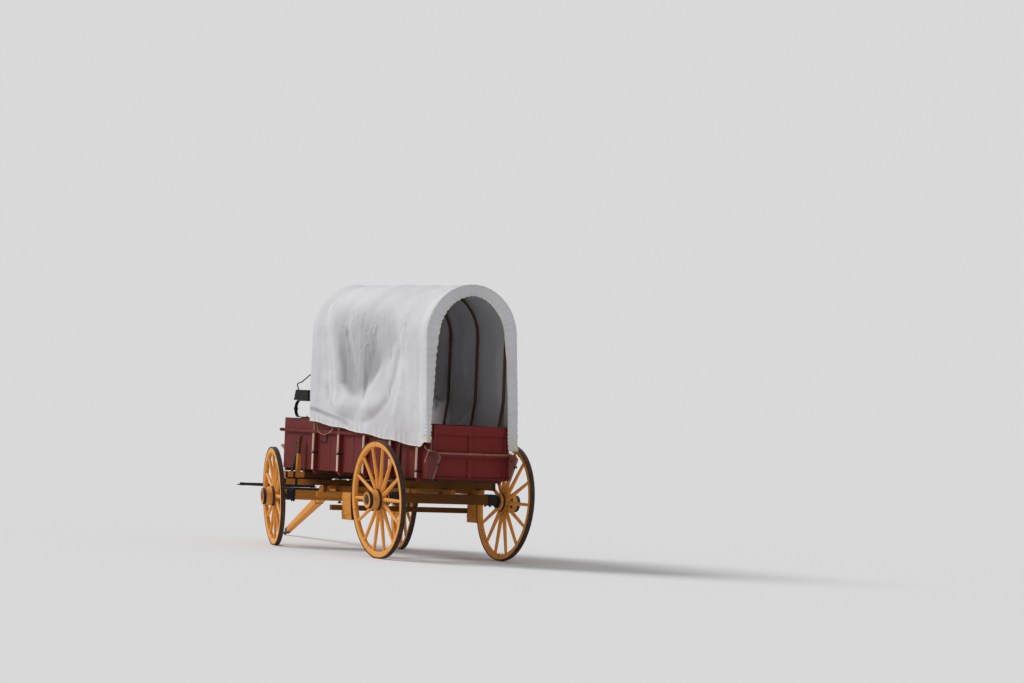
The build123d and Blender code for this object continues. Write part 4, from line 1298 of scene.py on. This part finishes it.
@dataclass
class Studio:
    """The pale floor, the soft lamp and the camera."""

    eye: Point = (-37.105, 18.329, 1.7353)
    aim: Point = (-1.5512, 0.0, 2.4641)
    roll: float = 0.0401
    lens: float = 129.07
    floor_half: float = 260.0
    paper: float = 0.80
    sun_energy: float = 2.05
    sun_from: Point = (0.78, 0.66, 0.88)
    sun_spread: float = math.radians(26)
    sky: Point = (0.44, 0.44, 0.4488)
    backdrop: float = 0.695

    def build(self) -> None:
        """Sets up the picture."""
        self._camera()
        self._floor()
        self._lamp()
        self._sky()
        bpy.context.scene.view_settings.view_transform = "Standard"

    def _camera(self) -> None:
        """Places the camera where the picture was taken from."""
        data = bpy.data.cameras.new("camera")
        data.lens = self.lens
        data.sensor_width = 36.0
        data.clip_end = 600.0
        camera = add("camera", data)
        eye, aim = WAGON.at(*self.eye), WAGON.at(*self.aim)
        ahead = (aim - eye).normalized()
        level = ahead.cross(WAGON.up).normalized()
        right = level * math.cos(self.roll) + level.cross(ahead) * math.sin(self.roll)
        axes = Matrix((right, right.cross(ahead), -ahead)).transposed()
        camera.matrix_world = Matrix.Translation(eye) @ axes.to_4x4()
        bpy.context.view_layer.update()
        bpy.context.scene.camera = camera

    def _floor(self) -> None:
        """Lays the plain pale paper that the wagon stands on."""
        paper = Paint("studio_paper", 0.0)
        paper.feed((self.paper, self.paper, self.paper, 1.0), paper.shader.inputs["Base Color"])
        paper.feed(0.95, paper.shader.inputs["Roughness"])
        mesh = bpy.data.meshes.new("floor")
        half = self.floor_half
        corners = [(-half, -half, 0), (half, -half, 0), (half, half, 0), (-half, half, 0)]
        mesh.from_pydata(corners, [], [(0, 1, 2, 3)])
        mesh.materials.append(paper.material)
        add("floor", mesh)

    def _lamp(self) -> None:
        """Hangs one broad soft lamp, high on the wagon's left and towards its front."""
        data = bpy.data.lights.new("soft_key", "SUN")
        data.energy = self.sun_energy
        data.angle = self.sun_spread
        lamp = add("soft_key", data)
        lamp.rotation_mode = "QUATERNION"
        lamp.rotation_quaternion = (-Vector(self.sun_from)).to_track_quat("-Z", "Y")

    def _sky(self) -> None:
        """Makes the even light from all round, and the plain pale backdrop that the camera sees."""
        world = bpy.data.worlds.new("studio")
        bpy.context.scene.world = world
        world.use_nodes = True
        tree = Tree(world.node_tree)
        rays = tree.node("ShaderNodeLightPath").socket.node.outputs
        kinds = ("Camera", "Glossy", "Transmission")
        camera, glossy, through = (Signal(tree, rays[f"Is {kind} Ray"]) for kind in kinds)
        seen = camera.most(glossy).most(through)
        colour = tree.blend(seen, (*self.sky, 1.0), (self.backdrop, self.backdrop, self.backdrop, 1.0))
        background = world.node_tree.nodes["Background"]
        tree.feed(colour, background.inputs["Color"])
        tree.feed(1.0, background.inputs["Strength"])


# the irons, ropes and small pieces


@dataclass
class Palette:
    """Every finish that more than one piece wears, made once."""

    red: Colour = linear(104, 36, 34)
    red_faded: Colour = linear(112, 44, 41)
    red_bare: Colour = linear(112, 70, 60)
    ochre: Colour = linear(224, 148, 58)
    ochre_faded: Colour = linear(202, 132, 62)
    wood_bare: Colour = linear(140, 104, 76)

    def __post_init__(self) -> None:
        """Makes the shared finishes."""
        self.iron = ForgedIron("forged_iron", linear(40, 41, 46), linear(78, 50, 38)).make()
        rubbed = (linear(118, 112, 106), linear(96, 70, 54))
        self.bright_iron = ForgedIron("worn_iron", *rubbed, 0.62, 0.5).make()
        self.hemp = TwistedHemp("hemp").make()
        self.ochre_irons = self.ochre_beams("ochre_irons", Grain.UPRIGHT)
        self.red_irons = self.red_boards("red_irons", Grain.UPRIGHT)
        pale = (linear(238, 204, 188), linear(192, 154, 138))
        self.lath = BareTimber("pale_lath", *pale, Grain.UPRIGHT).make()

    def red_boards(
        self,
        name: str,
        grain: Grain,
        seams: tuple[Seam, ...] = (),
        patches: tuple[Patch, ...] = (),
        ends: Colour | None = None,
    ) -> Material:
        """Makes the box's red paint for boards with this grain, these seams, patches and ends."""
        share, shades = 0.38 if grain is Grain.CROSSWAYS else 0.50, (self.red, self.red_faded, self.red_bare)
        return PaintedTimber(name, *shades, grain, 0.71, 0.6, seams, patches, share, ends).make()

    def ochre_beams(
        self, name: str, grain: Grain, level: float = 1.0, patches: tuple[Patch, ...] = ()
    ) -> Material:
        """Makes the gear's yellow paint.

        Args:
            name: The material's name.
            grain: The way that its grain runs.
            level: How bright it is; levels well below 1 are painted shade, darker copies of the yellow for
                parts under the box.
            patches: Where it has another colour.

        Returns:
            The material.
        """
        bare_level = min(1.0, level * 1.3)
        levels = ((self.ochre, level), (self.ochre_faded, level), (self.wood_bare, bare_level))
        shades = [(*(part * share for part in shade[:3]), 1.0) for shade, share in levels]
        return PaintedTimber(name, *shades, grain, 0.67, 0.6, (), patches).make()


@dataclass
class WheelSet:
    """The four wheels: where each stands, its finish, its hub hoops and its tyre nuts."""

    palette: Palette
    # carrier, height, radius and number of felloes of the wheels at each end
    ends: tuple[tuple[str, Carrier, float, float, int], ...] = (
        ("rear", WAGON, REAR_WHEEL_Z, 0.660, 7), ("front", GEAR, 0.58457, 0.584, 6),
    )
    rim_depth: float = 0.0712
    nut_turn: float = 0.062
    # radius and place of each hoop's first and last edge
    hoops: tuple[tuple[Pair, Pair], ...] = (
        ((0.0985, -0.073), (0.1028, -0.052)),
        ((0.1176, 0.010), (0.1135, 0.038)),
        ((0.0965, 0.108), (0.0912, 0.144)),
    )

    def build(self) -> None:
        """Dresses the wheels and fits their irons."""
        for name, side in (("left", 1), ("right", -1)):
            for end, carrier, height, radius, felloes in self.ends:
                arm = carrier.way(0, side * math.cos(CAMBER), -math.sin(CAMBER))
                centre = carrier.at(0, side * WHEEL_Y, height)
                wheel = Carrier(centre, carrier.ahead, arm.cross(carrier.ahead), arm)
                self._fit(f"{end}_{name}", wheel, radius, felloes)

    def _fit(self, name: str, wheel: Carrier, radius: float, felloes: int) -> None:
        """Dresses one wheel, shrinks the hoops on its hub and sets the nuts at its felloe joints.

        Args:
            name: The wheel's name.
            wheel: Its frame, with the way up out along its arm.
            radius: Its radius.
            felloes: The number of its felloes.
        """
        for part in WheelPart:
            node = f"{name}_{part.name.lower()}"
            finish = WheelFinish(f"{node}_paint", part, wheel, radius, felloes)
            dress(node, finish.make(), 0.0 if part is WheelPart.TYRE else 0.002)
        hoops, nuts = Form(), Form()
        for low, high in self.hoops:
            hoops.hoop(low, high, 0.0035, wheel.origin, wheel.up)
        hoops.piece(f"{name}_hoops", self.palette.iron, f"{name}_wheel", "iron")
        for joint in range(felloes):
            for step in (-self.nut_turn, self.nut_turn):
                turn = math.tau * (joint + 0.25) / felloes + step
                out = wheel.way(math.cos(turn), math.sin(turn), 0)
                nuts.bolt(wheel.origin + out * (radius - self.rim_depth), -out, 0.0085, True)
        nuts.piece(f"{name}_tyre_nuts", self.palette.ochre_irons, f"{name}_wheel", "yellow_paint")


@dataclass
class BoxIrons:
    """What is fixed to the box: laths and staples over the cleats, bolts, hooks, knobs and plates."""

    palette: Palette
    cleats: tuple[float, ...] = (2.403, 1.703, 1.003, 0.303, -0.397)
    cleat_face: float = 0.535
    board_face: float = 0.490
    board_back: float = 0.468
    rail_face: float = 0.520
    lath: Pair = (0.040, 0.010)
    staple_heights: tuple[float, ...] = (1.126, 1.126, 1.126, 1.126, 0.997)
    sill_bolts: tuple[float, ...] = (3.300, 2.900, 2.120, 1.350, 0.650, -0.050)
    rail_bolts: tuple[float, ...] = (3.330, 2.960, 2.620, 2.210, 1.880, 1.500, 1.180)
    tail_bolts: tuple[Pair, ...] = ((-0.766, 1.146), (-0.828, 1.081), (-0.700, 0.960))
    knob: tuple[Pair, ...] = (
        (0.006, 0.0), (0.007, 0.005), (0.015, 0.008), (0.018, 0.015), (0.014, 0.022), (0.006, 0.026),
    )
    hook: tuple[Point, ...] = (
        (2.118, 0.499, 1.350), (2.118, 0.499, 1.300), (2.116, 0.500, 1.276), (2.122, 0.501, 1.262),
        (2.140, 0.502, 1.256), (2.200, 0.502, 1.256), (2.290, 0.502, 1.257),
    )

    def build(self) -> None:
        """Makes the pieces."""
        self._laths()
        self._staples()
        self._bolts()
        self._hooks()

    def _laths(self) -> None:
        """Makes the pale laths over the cleats, up to the rail or to the hem where that hangs lower."""
        width, thick = self.lath
        form = Form()
        for x in self.cleats:
            top = min(1.350, 1.238 + 0.0775 * (x + 0.705))
            form.boxes((x - width / 2, self.cleat_face, 0.925), (x + width / 2, self.cleat_face + thick, top))
        form.piece("bow_laths", self.palette.lath, "root", "bow_wood")

    def _staples(self) -> None:
        """Bends the iron staples that hold the laths, with a bolt through each foot."""
        form = Form()
        over, flat = self.cleat_face + self.lath[1] + 0.002, self.board_face + 0.0015
        foot, knee = [(-0.062, flat), (-0.030, flat)], (-0.0255, flat + 0.0025)
        rear = [*foot, knee, (-0.025, over - 0.003), (-0.022, over)]
        bent = rear + [(-x, y) for x, y in reversed(rear)]
        for x, z in zip(self.cleats, self.staple_heights):
            for side in SIDES:
                form.bar([WAGON.at(x + a, side * b, z) for a, b in bent], 0.022, 0.003, WAGON.up, 0.0008)
            form.bolts([(x + a, self.board_face + 0.003, z) for a in (-0.050, 0.050)], (0, 1, 0), 0.0055)
        form.piece("bow_staples", self.palette.iron, "root", "iron")

    def _bolts(self) -> None:
        """Sets painted carriage bolts along the sides and rails, and dark ones on the tails."""
        form, dark = Form(), Form()
        out, face = (0, 1, 0), self.board_face
        form.bolts([(x, face, 0.956) for x in self.sill_bolts], out, 0.010)
        form.bolts([(x, face, 1.300) for x in self.sill_bolts], out, 0.008)
        form.bolts([(x, self.rail_face, 1.374) for x in self.rail_bolts], out, 0.007)
        for side in SIDES:
            form.turn(self.knob, WAGON.at(3.380, side * self.rail_face, 1.376), WAGON.way(0, side, 0), 16)
        form.piece("box_bolts", self.palette.red_irons, "root", "red_paint")
        dark.bolts([(x, face, z) for x, z in self.tail_bolts], out, 0.010)
        dark.bolts([(x, self.board_back, z) for x, z in self.tail_bolts], (0, -1, 0), 0.009, True)
        dark.boxes((2.930, face, 1.496), (3.170, face + 0.005, 1.510), edge=0.001)
        dark.piece("tail_bolts", self.palette.iron, "root", "iron")

    def _hooks(self) -> None:
        """Bends the long hook that hangs on each side board under the rail."""
        form = Form()
        for side in SIDES:
            form.tube([WAGON.at(x, side * y, z) for x, y, z in self.hook], 0.0055, 8)
        for x, z in ((2.118, 1.335), (2.272, 1.257)):
            form.boxes((x - 0.010, self.board_face, z - 0.010), (x + 0.010, 0.508, z + 0.010), edge=0.0015)
        form.piece("side_hooks", self.palette.iron, "root", "iron")


@dataclass
class GateIrons:
    """Bolts on the end gate and its bar, and the small eye on the gate's top edge."""

    palette: Palette
    batten_face: float = -0.654
    bar_face: float = -0.696
    rows: tuple[Pair, ...] = (
        (0.439, 0.985), (0.439, 1.120), (0.439, 1.262), (0.439, 1.384), (0.439, 1.492), (0.220, 1.466),
        (0.0, 1.010), (0.0, 1.120), (0.0, 1.262), (0.0, 1.384), (0.0, 1.480),
    )

    def build(self) -> None:
        """Makes the pieces."""
        gate, eye, bar = Form(), Form(), Form()
        back = (-1, 0, 0)
        gate.bolts([(self.batten_face, y, z) for y, z in self.rows], back, 0.0065)
        gate.piece("gate_bolts", self.palette.red_irons, "end_gate", "red_paint")
        ring = circle(WAGON.at(-0.634, -0.290, 1.532), WAGON.aside, WAGON.up, 0.013, 20)
        eye.tube([*ring, ring[0]], 0.003, 8)
        eye.box((-0.644, -0.302, 1.5195), (-0.624, -0.278, 1.5225), edge=0.001)
        eye.piece("gate_eye", self.palette.bright_iron, "end_gate", "iron")
        bar.bolts([(self.bar_face, 0.446, 1.190)], back, 0.009, True)
        bar.bolts([(self.bar_face, 0.150, 1.190)], back, 0.009)
        bar.piece("bar_bolts", self.palette.red_irons, "root", "red_paint")


@dataclass
class Ties:
    """The hemp ties of the bonnet: along the tail bar, at the two rear corners and down from the hem."""

    palette: Palette
    along_bar: tuple[Point, ...] = (
        (-0.690, 0.588, 1.284), (-0.687, 0.566, 1.252), (-0.684, 0.536, 1.236), (-0.683, 0.505, 1.231),
        (-0.682, 0.479, 1.2295), (-0.681, 0.462, 1.224), (-0.681, 0.445, 1.2150), (-0.681, 0.300, 1.2140),
        (-0.680, 0.100, 1.2145), (-0.681, -0.150, 1.2140), (-0.681, -0.420, 1.2150), (-0.682, -0.455, 1.221),
        (-0.683, -0.479, 1.2295), (-0.685, -0.500, 1.234), (-0.688, -0.520, 1.247), (-0.690, -0.536, 1.262),
    )
    loose: tuple[Point, ...] = (
        (-0.685, 0.528, 1.236), (-0.687, 0.540, 1.214), (-0.689, 0.553, 1.180), (-0.689, 0.566, 1.146),
        (-0.686, 0.578, 1.108), (-0.684, 0.582, 1.094),
    )
    thick: float = 0.0042

    def _rope(self, form: Form, spots: Sequence[Point], radius: float) -> None:
        """Lays a two-strand rope along a smooth line through a path's points.

        Args:
            form: The form that it joins.
            spots: The path's points.
            radius: The rope's radius.
        """
        path = [WAGON.at(*spot) for spot in spots]
        line = []
        for before, start, stop, after in zip([path[0], *path], path, path[1:], [*path[2:], path[-1]]):
            steps = max(2, math.ceil((stop - start).length / 0.006))
            first, second = stop - before, 2 * before - 5 * start + 4 * stop - after
            third = 3 * start - before - 3 * stop + after
            for t in (step / steps for step in range(steps)):
                line.append(0.5 * (2 * start + first * t + second * t * t + third * t**3))
        line.append(path[-1])
        for phase in (0.0, 0.5):
            form.tube(strand(line, radius * 0.45, radius * 8, phase), radius * 0.58, 6)

    def _knot(self, form: Form, centre: Vector, size: float) -> None:
        """Ties a small round knot.

        Args:
            form: The form that it joins.
            centre: Its middle.
            size: Its radius.
        """
        path = []
        for turn in (math.tau * 2 * step / 33 for step in range(34)):
            reach = size * (1 + 0.35 * math.cos(turn * 1.5))
            way = (math.sin(turn * 1.5) * size * 0.8, math.cos(turn) * reach, math.sin(turn) * reach * 0.8)
            path.append(centre + Vector(way))
        form.tube(path, self.thick * 0.85, 6)

    def build(self, bonnet: Bonnet) -> list[bpy.types.Object]:
        """Makes the ties.

        Args:
            bonnet: The sheet whose hem they hang from.

        Returns:
            The pieces.
        """
        corner, hem = Form(), Form()
        for spots in (self.along_bar, self.loose):
            self._rope(corner, spots, self.thick)
        self._knot(corner, WAGON.at(-0.684, 0.530, 1.237), 0.010)
        self._knot(corner, WAGON.at(-0.689, -0.526, 1.250), 0.009)
        for side in SIDES:
            for x, staple in zip(BoxIrons.cleats, BoxIrons.staple_heights):
                top, foot = bonnet.hem_z(x - 0.03) + 0.006, staple + 0.012
                drop = top - foot
                hung = (
                    (-0.034, 0.5565, top),
                    (-0.036, 0.560, top - drop * 0.3),
                    (-0.031, 0.557, top - drop * 0.7),
                    (-0.021, 0.5525, foot + 0.010),
                    (-0.014, 0.5515, foot),
                )
                self._rope(hem, [(x + a, side * b, c) for a, b, c in hung], 0.003)
                self._knot(hem, WAGON.at(x - 0.012, side * 0.5530, foot), 0.006)
        hemp = self.palette.hemp
        forms = (("corner_ties", corner), ("hem_ties", hem))
        return [form.piece(name, hemp, "root", "rope", 60.0) for name, form in forms]


@dataclass
class SeatIrons:
    """Screws in the seat's ends, bolts at the springs and the clip around each spring."""

    palette: Palette
    screws: tuple[Point, ...] = (
        (2.835, 0.455, 1.744), (3.000, 0.455, 1.744), (3.150, 0.455, 1.744), (2.810, 0.455, 1.820),
    )
    board_bolts: tuple[Point, ...] = ((2.860, 0.430, 1.755), (3.040, 0.430, 1.755))
    spring_nut: Point = (2.860, 0.430, 1.538)
    back_bolt: Point = (3.102, 0.4455, 1.8655)
    clip: tuple[Point, Point] = ((3.180, 0.407, 1.614), (3.206, 0.453, 1.644))

    def build(self) -> None:
        """Makes the piece."""
        form = Form()
        up = (0, 0, 1)
        form.bolts(self.screws, (0, 1, 0), 0.0055)
        form.bolts(self.board_bolts, up, 0.008)
        form.bolts([self.spring_nut], up, 0.008, True)
        form.bolts([self.back_bolt], up, 0.009)
        form.boxes(*self.clip)
        form.piece("seat_irons", self.palette.iron, "root", "iron")


@dataclass
class GearIrons:
    """Straps, clips, nuts and sleeves of the running gear, the tongue and its bars."""

    palette: Palette
    beam_half: float = 0.0475
    beam_deep: float = 0.114
    rear_nuts: tuple[Point, ...] = (
        (-0.080, 0.418, 0.796), (0.080, 0.418, 0.796), (1.040, 0.070, 0.796), (0.860, 0.070, 0.796),
    )
    front_nuts: tuple[Point, ...] = ((-0.615, 0.357, 0.730), (0.335, 0.080, 0.730), (0.540, 0.080, 0.730))
    # place, half height and width of each strap on the tongue
    tongue_straps: tuple[Row, ...] = ((0.180, 0.044, 0.030), (0.420, 0.044, 0.036), (0.760, 0.0435, 0.030))
    tongue_half: float = 0.046

    def build(self) -> None:
        """Makes the pieces."""
        self._gears()
        self._tongue()
        self._bars()

    def _sleeves(self, form: Form, carrier: Carrier, top: float) -> None:
        """Fits the black iron sleeve over each end of an axle, with its two clips.

        Args:
            form: The form that they join.
            carrier: The axle's frame.
            top: The height of the axle's top.
        """
        half, foot, stud_x, stud_y = self.beam_half, top - self.beam_deep, 0.060, 0.572
        form.straps((-half, half), (foot, top), 0.604, 0.104, carrier)
        for y, width in ((stud_y, 0.030), (0.634, 0.022)):
            form.straps((-half - 0.003, half + 0.003), (foot - 0.003, top + 0.003), y, width, carrier)
        for x in (-stud_x, stud_x):
            for y in (-stud_y, stud_y):
                form.tube([carrier.at(x, y, foot - 0.020), carrier.at(x, y, top + 0.004)], 0.0065, 10)
        form.bolts([(x, stud_y, foot - 0.008) for x in (-stud_x, stud_x)], (0, 0, -1), 0.011, True, carrier)

    def _gears(self) -> None:
        """Fits the irons of the rear gear, of the front bolster and of the turning gear."""
        iron, up = self.palette.iron, (0, 0, 1)
        rear, bolster, front = Form(), Form(), Form()
        self._sleeves(rear, WAGON, 0.744)
        rear.straps((-0.050, 0.050), (0.796, 0.886), 0.615, 0.030)
        rear.bolts(self.rear_nuts, up, 0.010, True)
        rear.piece("rear_gear_irons", iron, "root", "iron")
        for y, width in ((0.628, 0.028), (0.728, 0.024)):
            bolster.straps((2.715, 2.815), (0.819, 0.886), y, width)
        bolster.boxes((2.725, 0.110, 0.8095), (2.805, 0.735, 0.8195), edge=0.001)
        bolster.piece("bolster_straps", iron, "root", "iron")
        self._sleeves(front, GEAR, 0.665)
        for y, width in ((0.545, 0.028), (0.684, 0.024)):
            front.straps((-0.045, 0.045), (0.730, 0.798), y, width, GEAR)
        front.boxes((-0.038, 0.110, 0.7975), (0.038, 0.655, 0.8075), GEAR, 0.001)
        front.bolts(self.front_nuts, up, 0.010, True, GEAR)
        front.piece("front_gear_irons", iron, "front_gear", "iron")

    def _tongue(self) -> None:
        """Fits the straps of the tongue."""
        form = Form()
        for x, half_z, width in self.tongue_straps:
            rings, half = [], width / 2
            for out, shift in ((-0.001, -half), (0.003, -half), (0.003, half), (-0.001, half)):
                y, z = self.tongue_half + out, half_z + out
                rings.append([POLE.at(x + shift, a, b) for a, b in ((-y, -z), (y, -z), (y, z), (-y, z))])
            form.loft(rings, capped=False)
        form.piece("tongue_straps", self.palette.iron, "tongue", "iron")

    def _bars(self) -> None:
        """Fits the centre plate of the doubletree and the ferrules of the singletrees."""
        plate = Form()
        plate.box((0.500, -0.060, 0.0905), (0.580, 0.060, 0.0925), POLE, 0.0006)
        plate.boxes((0.499, 0.540, 0.062), (0.5155, 0.600, 0.078), POLE, 0.001)
        plate.piece("doubletree_plate", self.palette.iron, "doubletree", "iron")
        for side, name in ((1, "left"), (-1, "right")):
            form = Form()
            centre = POLE.at(0.540, side * 0.563, 0.119)
            for end in SIDES:
                form.hoop((0.0176, 0.410), (0.0162, 0.448), 0.0022, centre, POLE.aside * end)
            form.hoop((0.0232, -0.018), (0.0232, 0.018), 0.0022, centre, POLE.aside)
            form.piece(f"singletree_{name}_ferrules", self.palette.iron, f"singletree_{name}", "iron")


@dataclass
class BrakeIrons:
    """The shoes on the brake blocks, the plates that hold them and the lever's toothed rack."""

    palette: Palette
    shoe_r: float = 0.6815
    shoe_turns: Pair = (-21.0, 2.5)
    shoe_section: tuple[Pair, ...] = ((0.0, -0.024), (0.0, 0.024), (-0.009, 0.024), (-0.009, -0.024))
    plate_y: float = 0.029
    rack_foot: Pair = (3.072, 0.903)
    rack_reach: Pair = (0.306, 0.326)
    rack_faces: Pair = (0.4902, 0.4945)

    def build(self) -> None:
        """Makes the pieces."""
        leather = BareTimber("shoe_leather", linear(58, 48, 44), linear(34, 28, 26), Grain.UPRIGHT).make()
        self._shoes(leather)
        self._plates()
        self._rack()

    def _shoes(self, leather: Material) -> None:
        """Bends the shoes around the tyres.

        Args:
            leather: Their finish.
        """
        form = Form()
        first, last = self.shoe_turns
        for side in SIDES:
            rings = []
            for turn in (math.radians(first + (last - first) * step / 14) for step in range(15)):
                ring = [(self.shoe_r + reach, side * WHEEL_Y + y) for reach, y in self.shoe_section]
                ahead, rise = math.cos(turn), math.sin(turn)
                rings.append([WAGON.at(r * ahead, y, REAR_WHEEL_Z + r * rise) for r, y in ring])
            form.loft(rings)
        form.piece("brake_shoes", leather, "root", "iron")

    def _plates(self) -> None:
        """Bolts a plate to each side of the blocks, above and below."""
        form = Form()
        for z in (0.470, 0.650):
            for out in SIDES:
                y = WHEEL_Y + out * self.plate_y
                form.boxes((0.720, y - 0.002, z - 0.016), (0.9045, y + 0.002, z + 0.016), edge=0.0006)
                spot_y = WHEEL_Y + out * self.plate_y * 1.07
                form.bolts([(x, spot_y, z) for x in (0.745, 0.880)], (0, out, 0), 0.007)
        form.piece("brake_plates", self.palette.ochre_irons, "root", "yellow_paint")

    def _rack(self) -> None:
        """Cuts the toothed rack that the lever runs along."""
        form = Form()
        near, far = self.rack_faces
        rings = []
        for step in range(33):
            turn = math.radians(100 + 24 * step / 32)
            tooth = 0.008 if step % 2 else 0.0
            inner, outer = (
                (self.rack_foot[0] + reach * math.cos(turn), self.rack_foot[1] + reach * math.sin(turn))
                for reach in (self.rack_reach[0], self.rack_reach[1] + tooth)
            )
            section = ((inner, near), (outer, near), (outer, far), (inner, far))
            rings.append([WAGON.at(x, y, z) for (x, z), y in section])
        form.loft(rings)
        form.piece("brake_rack", self.palette.iron, "root", "iron", 25.0)


@dataclass
class Woodwork:
    """The boards, beams and bars of the frame: which finish each wears and how far its edges are eased."""

    palette: Palette
    board_joints: tuple[float, ...] = (2.700, 2.020, 1.360, 0.660, -0.600)
    top_joints: tuple[Seam, ...] = ((0, 0.178, 0.005),)
    # dark seams on the end gate: painted shadow under its proud top board and beside its stiles and centre
    # cleat, with grimy joints
    gate_joints_and_shadows: tuple[Seam, ...] = (
        (2, 1.404, 0.018), (1, 0.571, 0.010), (1, -0.249, 0.010), (1, 0.130, 0.009), (2, 0.949, 0.010),
    )
    pale_ends: Colour = linear(142, 104, 92)
    # painted light on the right tail's face, lighter and pinker, and painted shade on the left tail's face,
    # darker
    tail: Patch = Patch((-3.60, -0.70, 0.80), (-3.262, -0.20, 1.30), linear(150, 98, 84), 0.75)
    left_tail_painted_shade: Patch = Patch((-3.60, 0.30, 0.80), (-3.22, 0.80, 1.30), linear(72, 32, 28), 0.80)
    # the tail bar's top painted pale: bare wood where the paint is worn, and a painted highlight along its
    # lit edge
    bar_top_wear_and_highlight: Patch = Patch((-3.40, -0.80, 1.202), (-3.10, 0.80, 1.30), linear(196, 118, 92), 0.85)
    # painted light: the whole end gate a lighter red, though it faces away from the lamp
    gate_painted_light: Patch = Patch((-4.0, -2.0, 0.0), (-3.0, 2.0, 2.0), linear(124, 44, 42), 0.75)
    # painted shade: the rear stakes dark red-brown from the box's bottom up, under the hem
    dark_stake_painted_shade: Patch = Patch((-3.0, -2.0, 0.905), (0.0, 2.0, 2.0), linear(66, 32, 26), 0.95)
    front_stake: Patch = Patch((0.0, -2.0, 1.10), (1.0, 2.0, 2.0), linear(84, 40, 30), 0.92)
    # painted shade: dark brown over the parts of the bolster, sand board and front hounds that lie under the
    # box
    under_box_painted_shade: Patch = Patch((-3.2, -0.36, 0.40), (0.9, 0.66, 0.900), linear(32, 20, 12), 0.90)
    under_gear_painted_shade: Patch = Patch((-3.2, -3.0, -1.0), (0.9, 0.56, 2.0), linear(44, 26, 14), 0.80, 0.11)
    under_tail_painted_shade: Patch = Patch((-0.9, -3.0, -1.0), (0.06, 0.60, 2.0), linear(44, 26, 14), 0.75, 0.05)
    shod_tip: Patch = Patch((3.20, -2.0, -0.10), (3.60, 2.0, 0.30), linear(48, 46, 46), 0.95)
    irons: str = (
        "front_skeins rear_skeins king_bolt tongue_pin hammer_pin brake_rod brake_lever footboard_brackets"
        " seat_back seat_springs"
    )

    def _bare(self, name: str, light: Colour, dark: Colour, grain: Grain, *more: object) -> Material:
        """Makes bare timber."""
        return BareTimber(f"{name}_timber", light, dark, grain, *more).make()

    def build(self) -> None:
        """Dresses them."""
        red, ochre, bare = self.palette.red_boards, self.palette.ochre_beams, self._bare
        along, across, up = Grain
        joints = tuple((0, x - ORIGIN.x, 0.017) for x in self.board_joints)
        tails = (self.tail, self.left_tail_painted_shade)
        blue_black = (linear(44, 46, 54), linear(60, 60, 68), linear(92, 74, 60))
        dark = PaintedTimber("dark_bars", *blue_black, across, 0.68).make()
        floor = (linear(140, 116, 94), linear(92, 72, 56), along, 9.0, self.palette.red, 0.155)
        for eased, finish, nodes in (
            # side boards: dark joints, painted light and shade on the tails, pale end grain facing back
            (0.003, red("red_boards", along, joints, tails, self.pale_ends), "side_boards"),
            (0.003, red("red_rails", along), "side_rails"),
            (0.003, red("red_top_boards", along, self.top_joints), "top_boards"),
            (0.003, red("red_uprights", up), "side_cleats gate_guides"),
            # end gate: painted shadow along its seams and painted light over all of it
            (0.003, red("red_gate", across, self.gate_joints_and_shadows, (self.gate_painted_light,)), "end_gate"),
            # the tail bar's pale top is worn wood and a painted highlight
            (0.003, red("red_bar", across, (), (self.bar_top_wear_and_highlight,)), "end_gate_bar front_gate"),
            # the reach, rear hounds, rear bolster, rear axle and brake beam wear darker copies of the yellow
            # (levels 0.5 and 0.2): painted shade under the box
            (0.004, ochre("ochre_long_painted_shade", along, 0.50), "reach rear_hounds"),
            (0.004, ochre("ochre_pole", along, 1.0, (self.shod_tip,)), "pole"),
            # hounds, sand board and bolster: the dark patches under the box are painted shade
            (0.004, ochre("ochre_hounds", along, 1.0, (self.under_tail_painted_shade,)), "front_hounds"),
            (0.004, ochre("ochre_sand_board", across, 0.9, (self.under_gear_painted_shade,)), "sand_board"),
            (0.004, ochre("ochre_across", across, 0.9), "front_axle sway_bar brake_blocks"),
            (0.004, ochre("ochre_bolster", across, 0.9, (self.front_stake, self.under_box_painted_shade)), "front_bolster"),
            (0.004, ochre("ochre_stakes_painted_shade", across, 0.20, (self.dark_stake_painted_shade,)), "rear_bolster"),
            (0.004, ochre("ochre_shaded", across, 0.20), "rear_axle brake_beam"),
            (0.003, dark, "doubletree singletree_left singletree_right"),
            # bows: painted shade darkens them from 1.5 m up, inside the canvas
            (0.002, bare("bow", linear(150, 112, 88), linear(104, 76, 58), up, 1.50), "bows"),
            (0.003, bare("seat", linear(36, 28, 23), linear(22, 17, 14), across), "seat"),
            (0.003, bare("foot", linear(196, 148, 92), linear(150, 104, 60), across), "footboard"),
            (0.0, bare("floor", *floor), "box_floor"),
            (0.002, bare("sill", linear(88, 60, 44), linear(58, 40, 30), across), "cross_sills"),
            (0.0, self.palette.iron, self.irons),
        ):
            for node in nodes.split():
                dress(node, finish, eased)
        LOG.info("woodwork dressed")


def main() -> None:
    """Builds the picture and every piece in order."""
    logging.basicConfig(level=logging.INFO, format="%(message)s")
    Studio().build()
    palette = Palette()
    Woodwork(palette).build()
    WheelSet(palette).build()
    HemRope().build(palette.hemp)
    bonnet = Bonnet()
    ties = Ties(palette).build(bonnet)
    canvas = CanvasCloth("canvas_cloth", linear(216, 216, 220), linear(202, 201, 202)).make()
    binding = CanvasCloth("canvas_binding", linear(232, 228, 214), linear(212, 204, 186)).make()
    bonnet.build(canvas, binding, ties)
    for irons in (BoxIrons, GateIrons, SeatIrons, GearIrons, BrakeIrons):
        irons(palette).build()


if __name__ == "__main__":
    main()
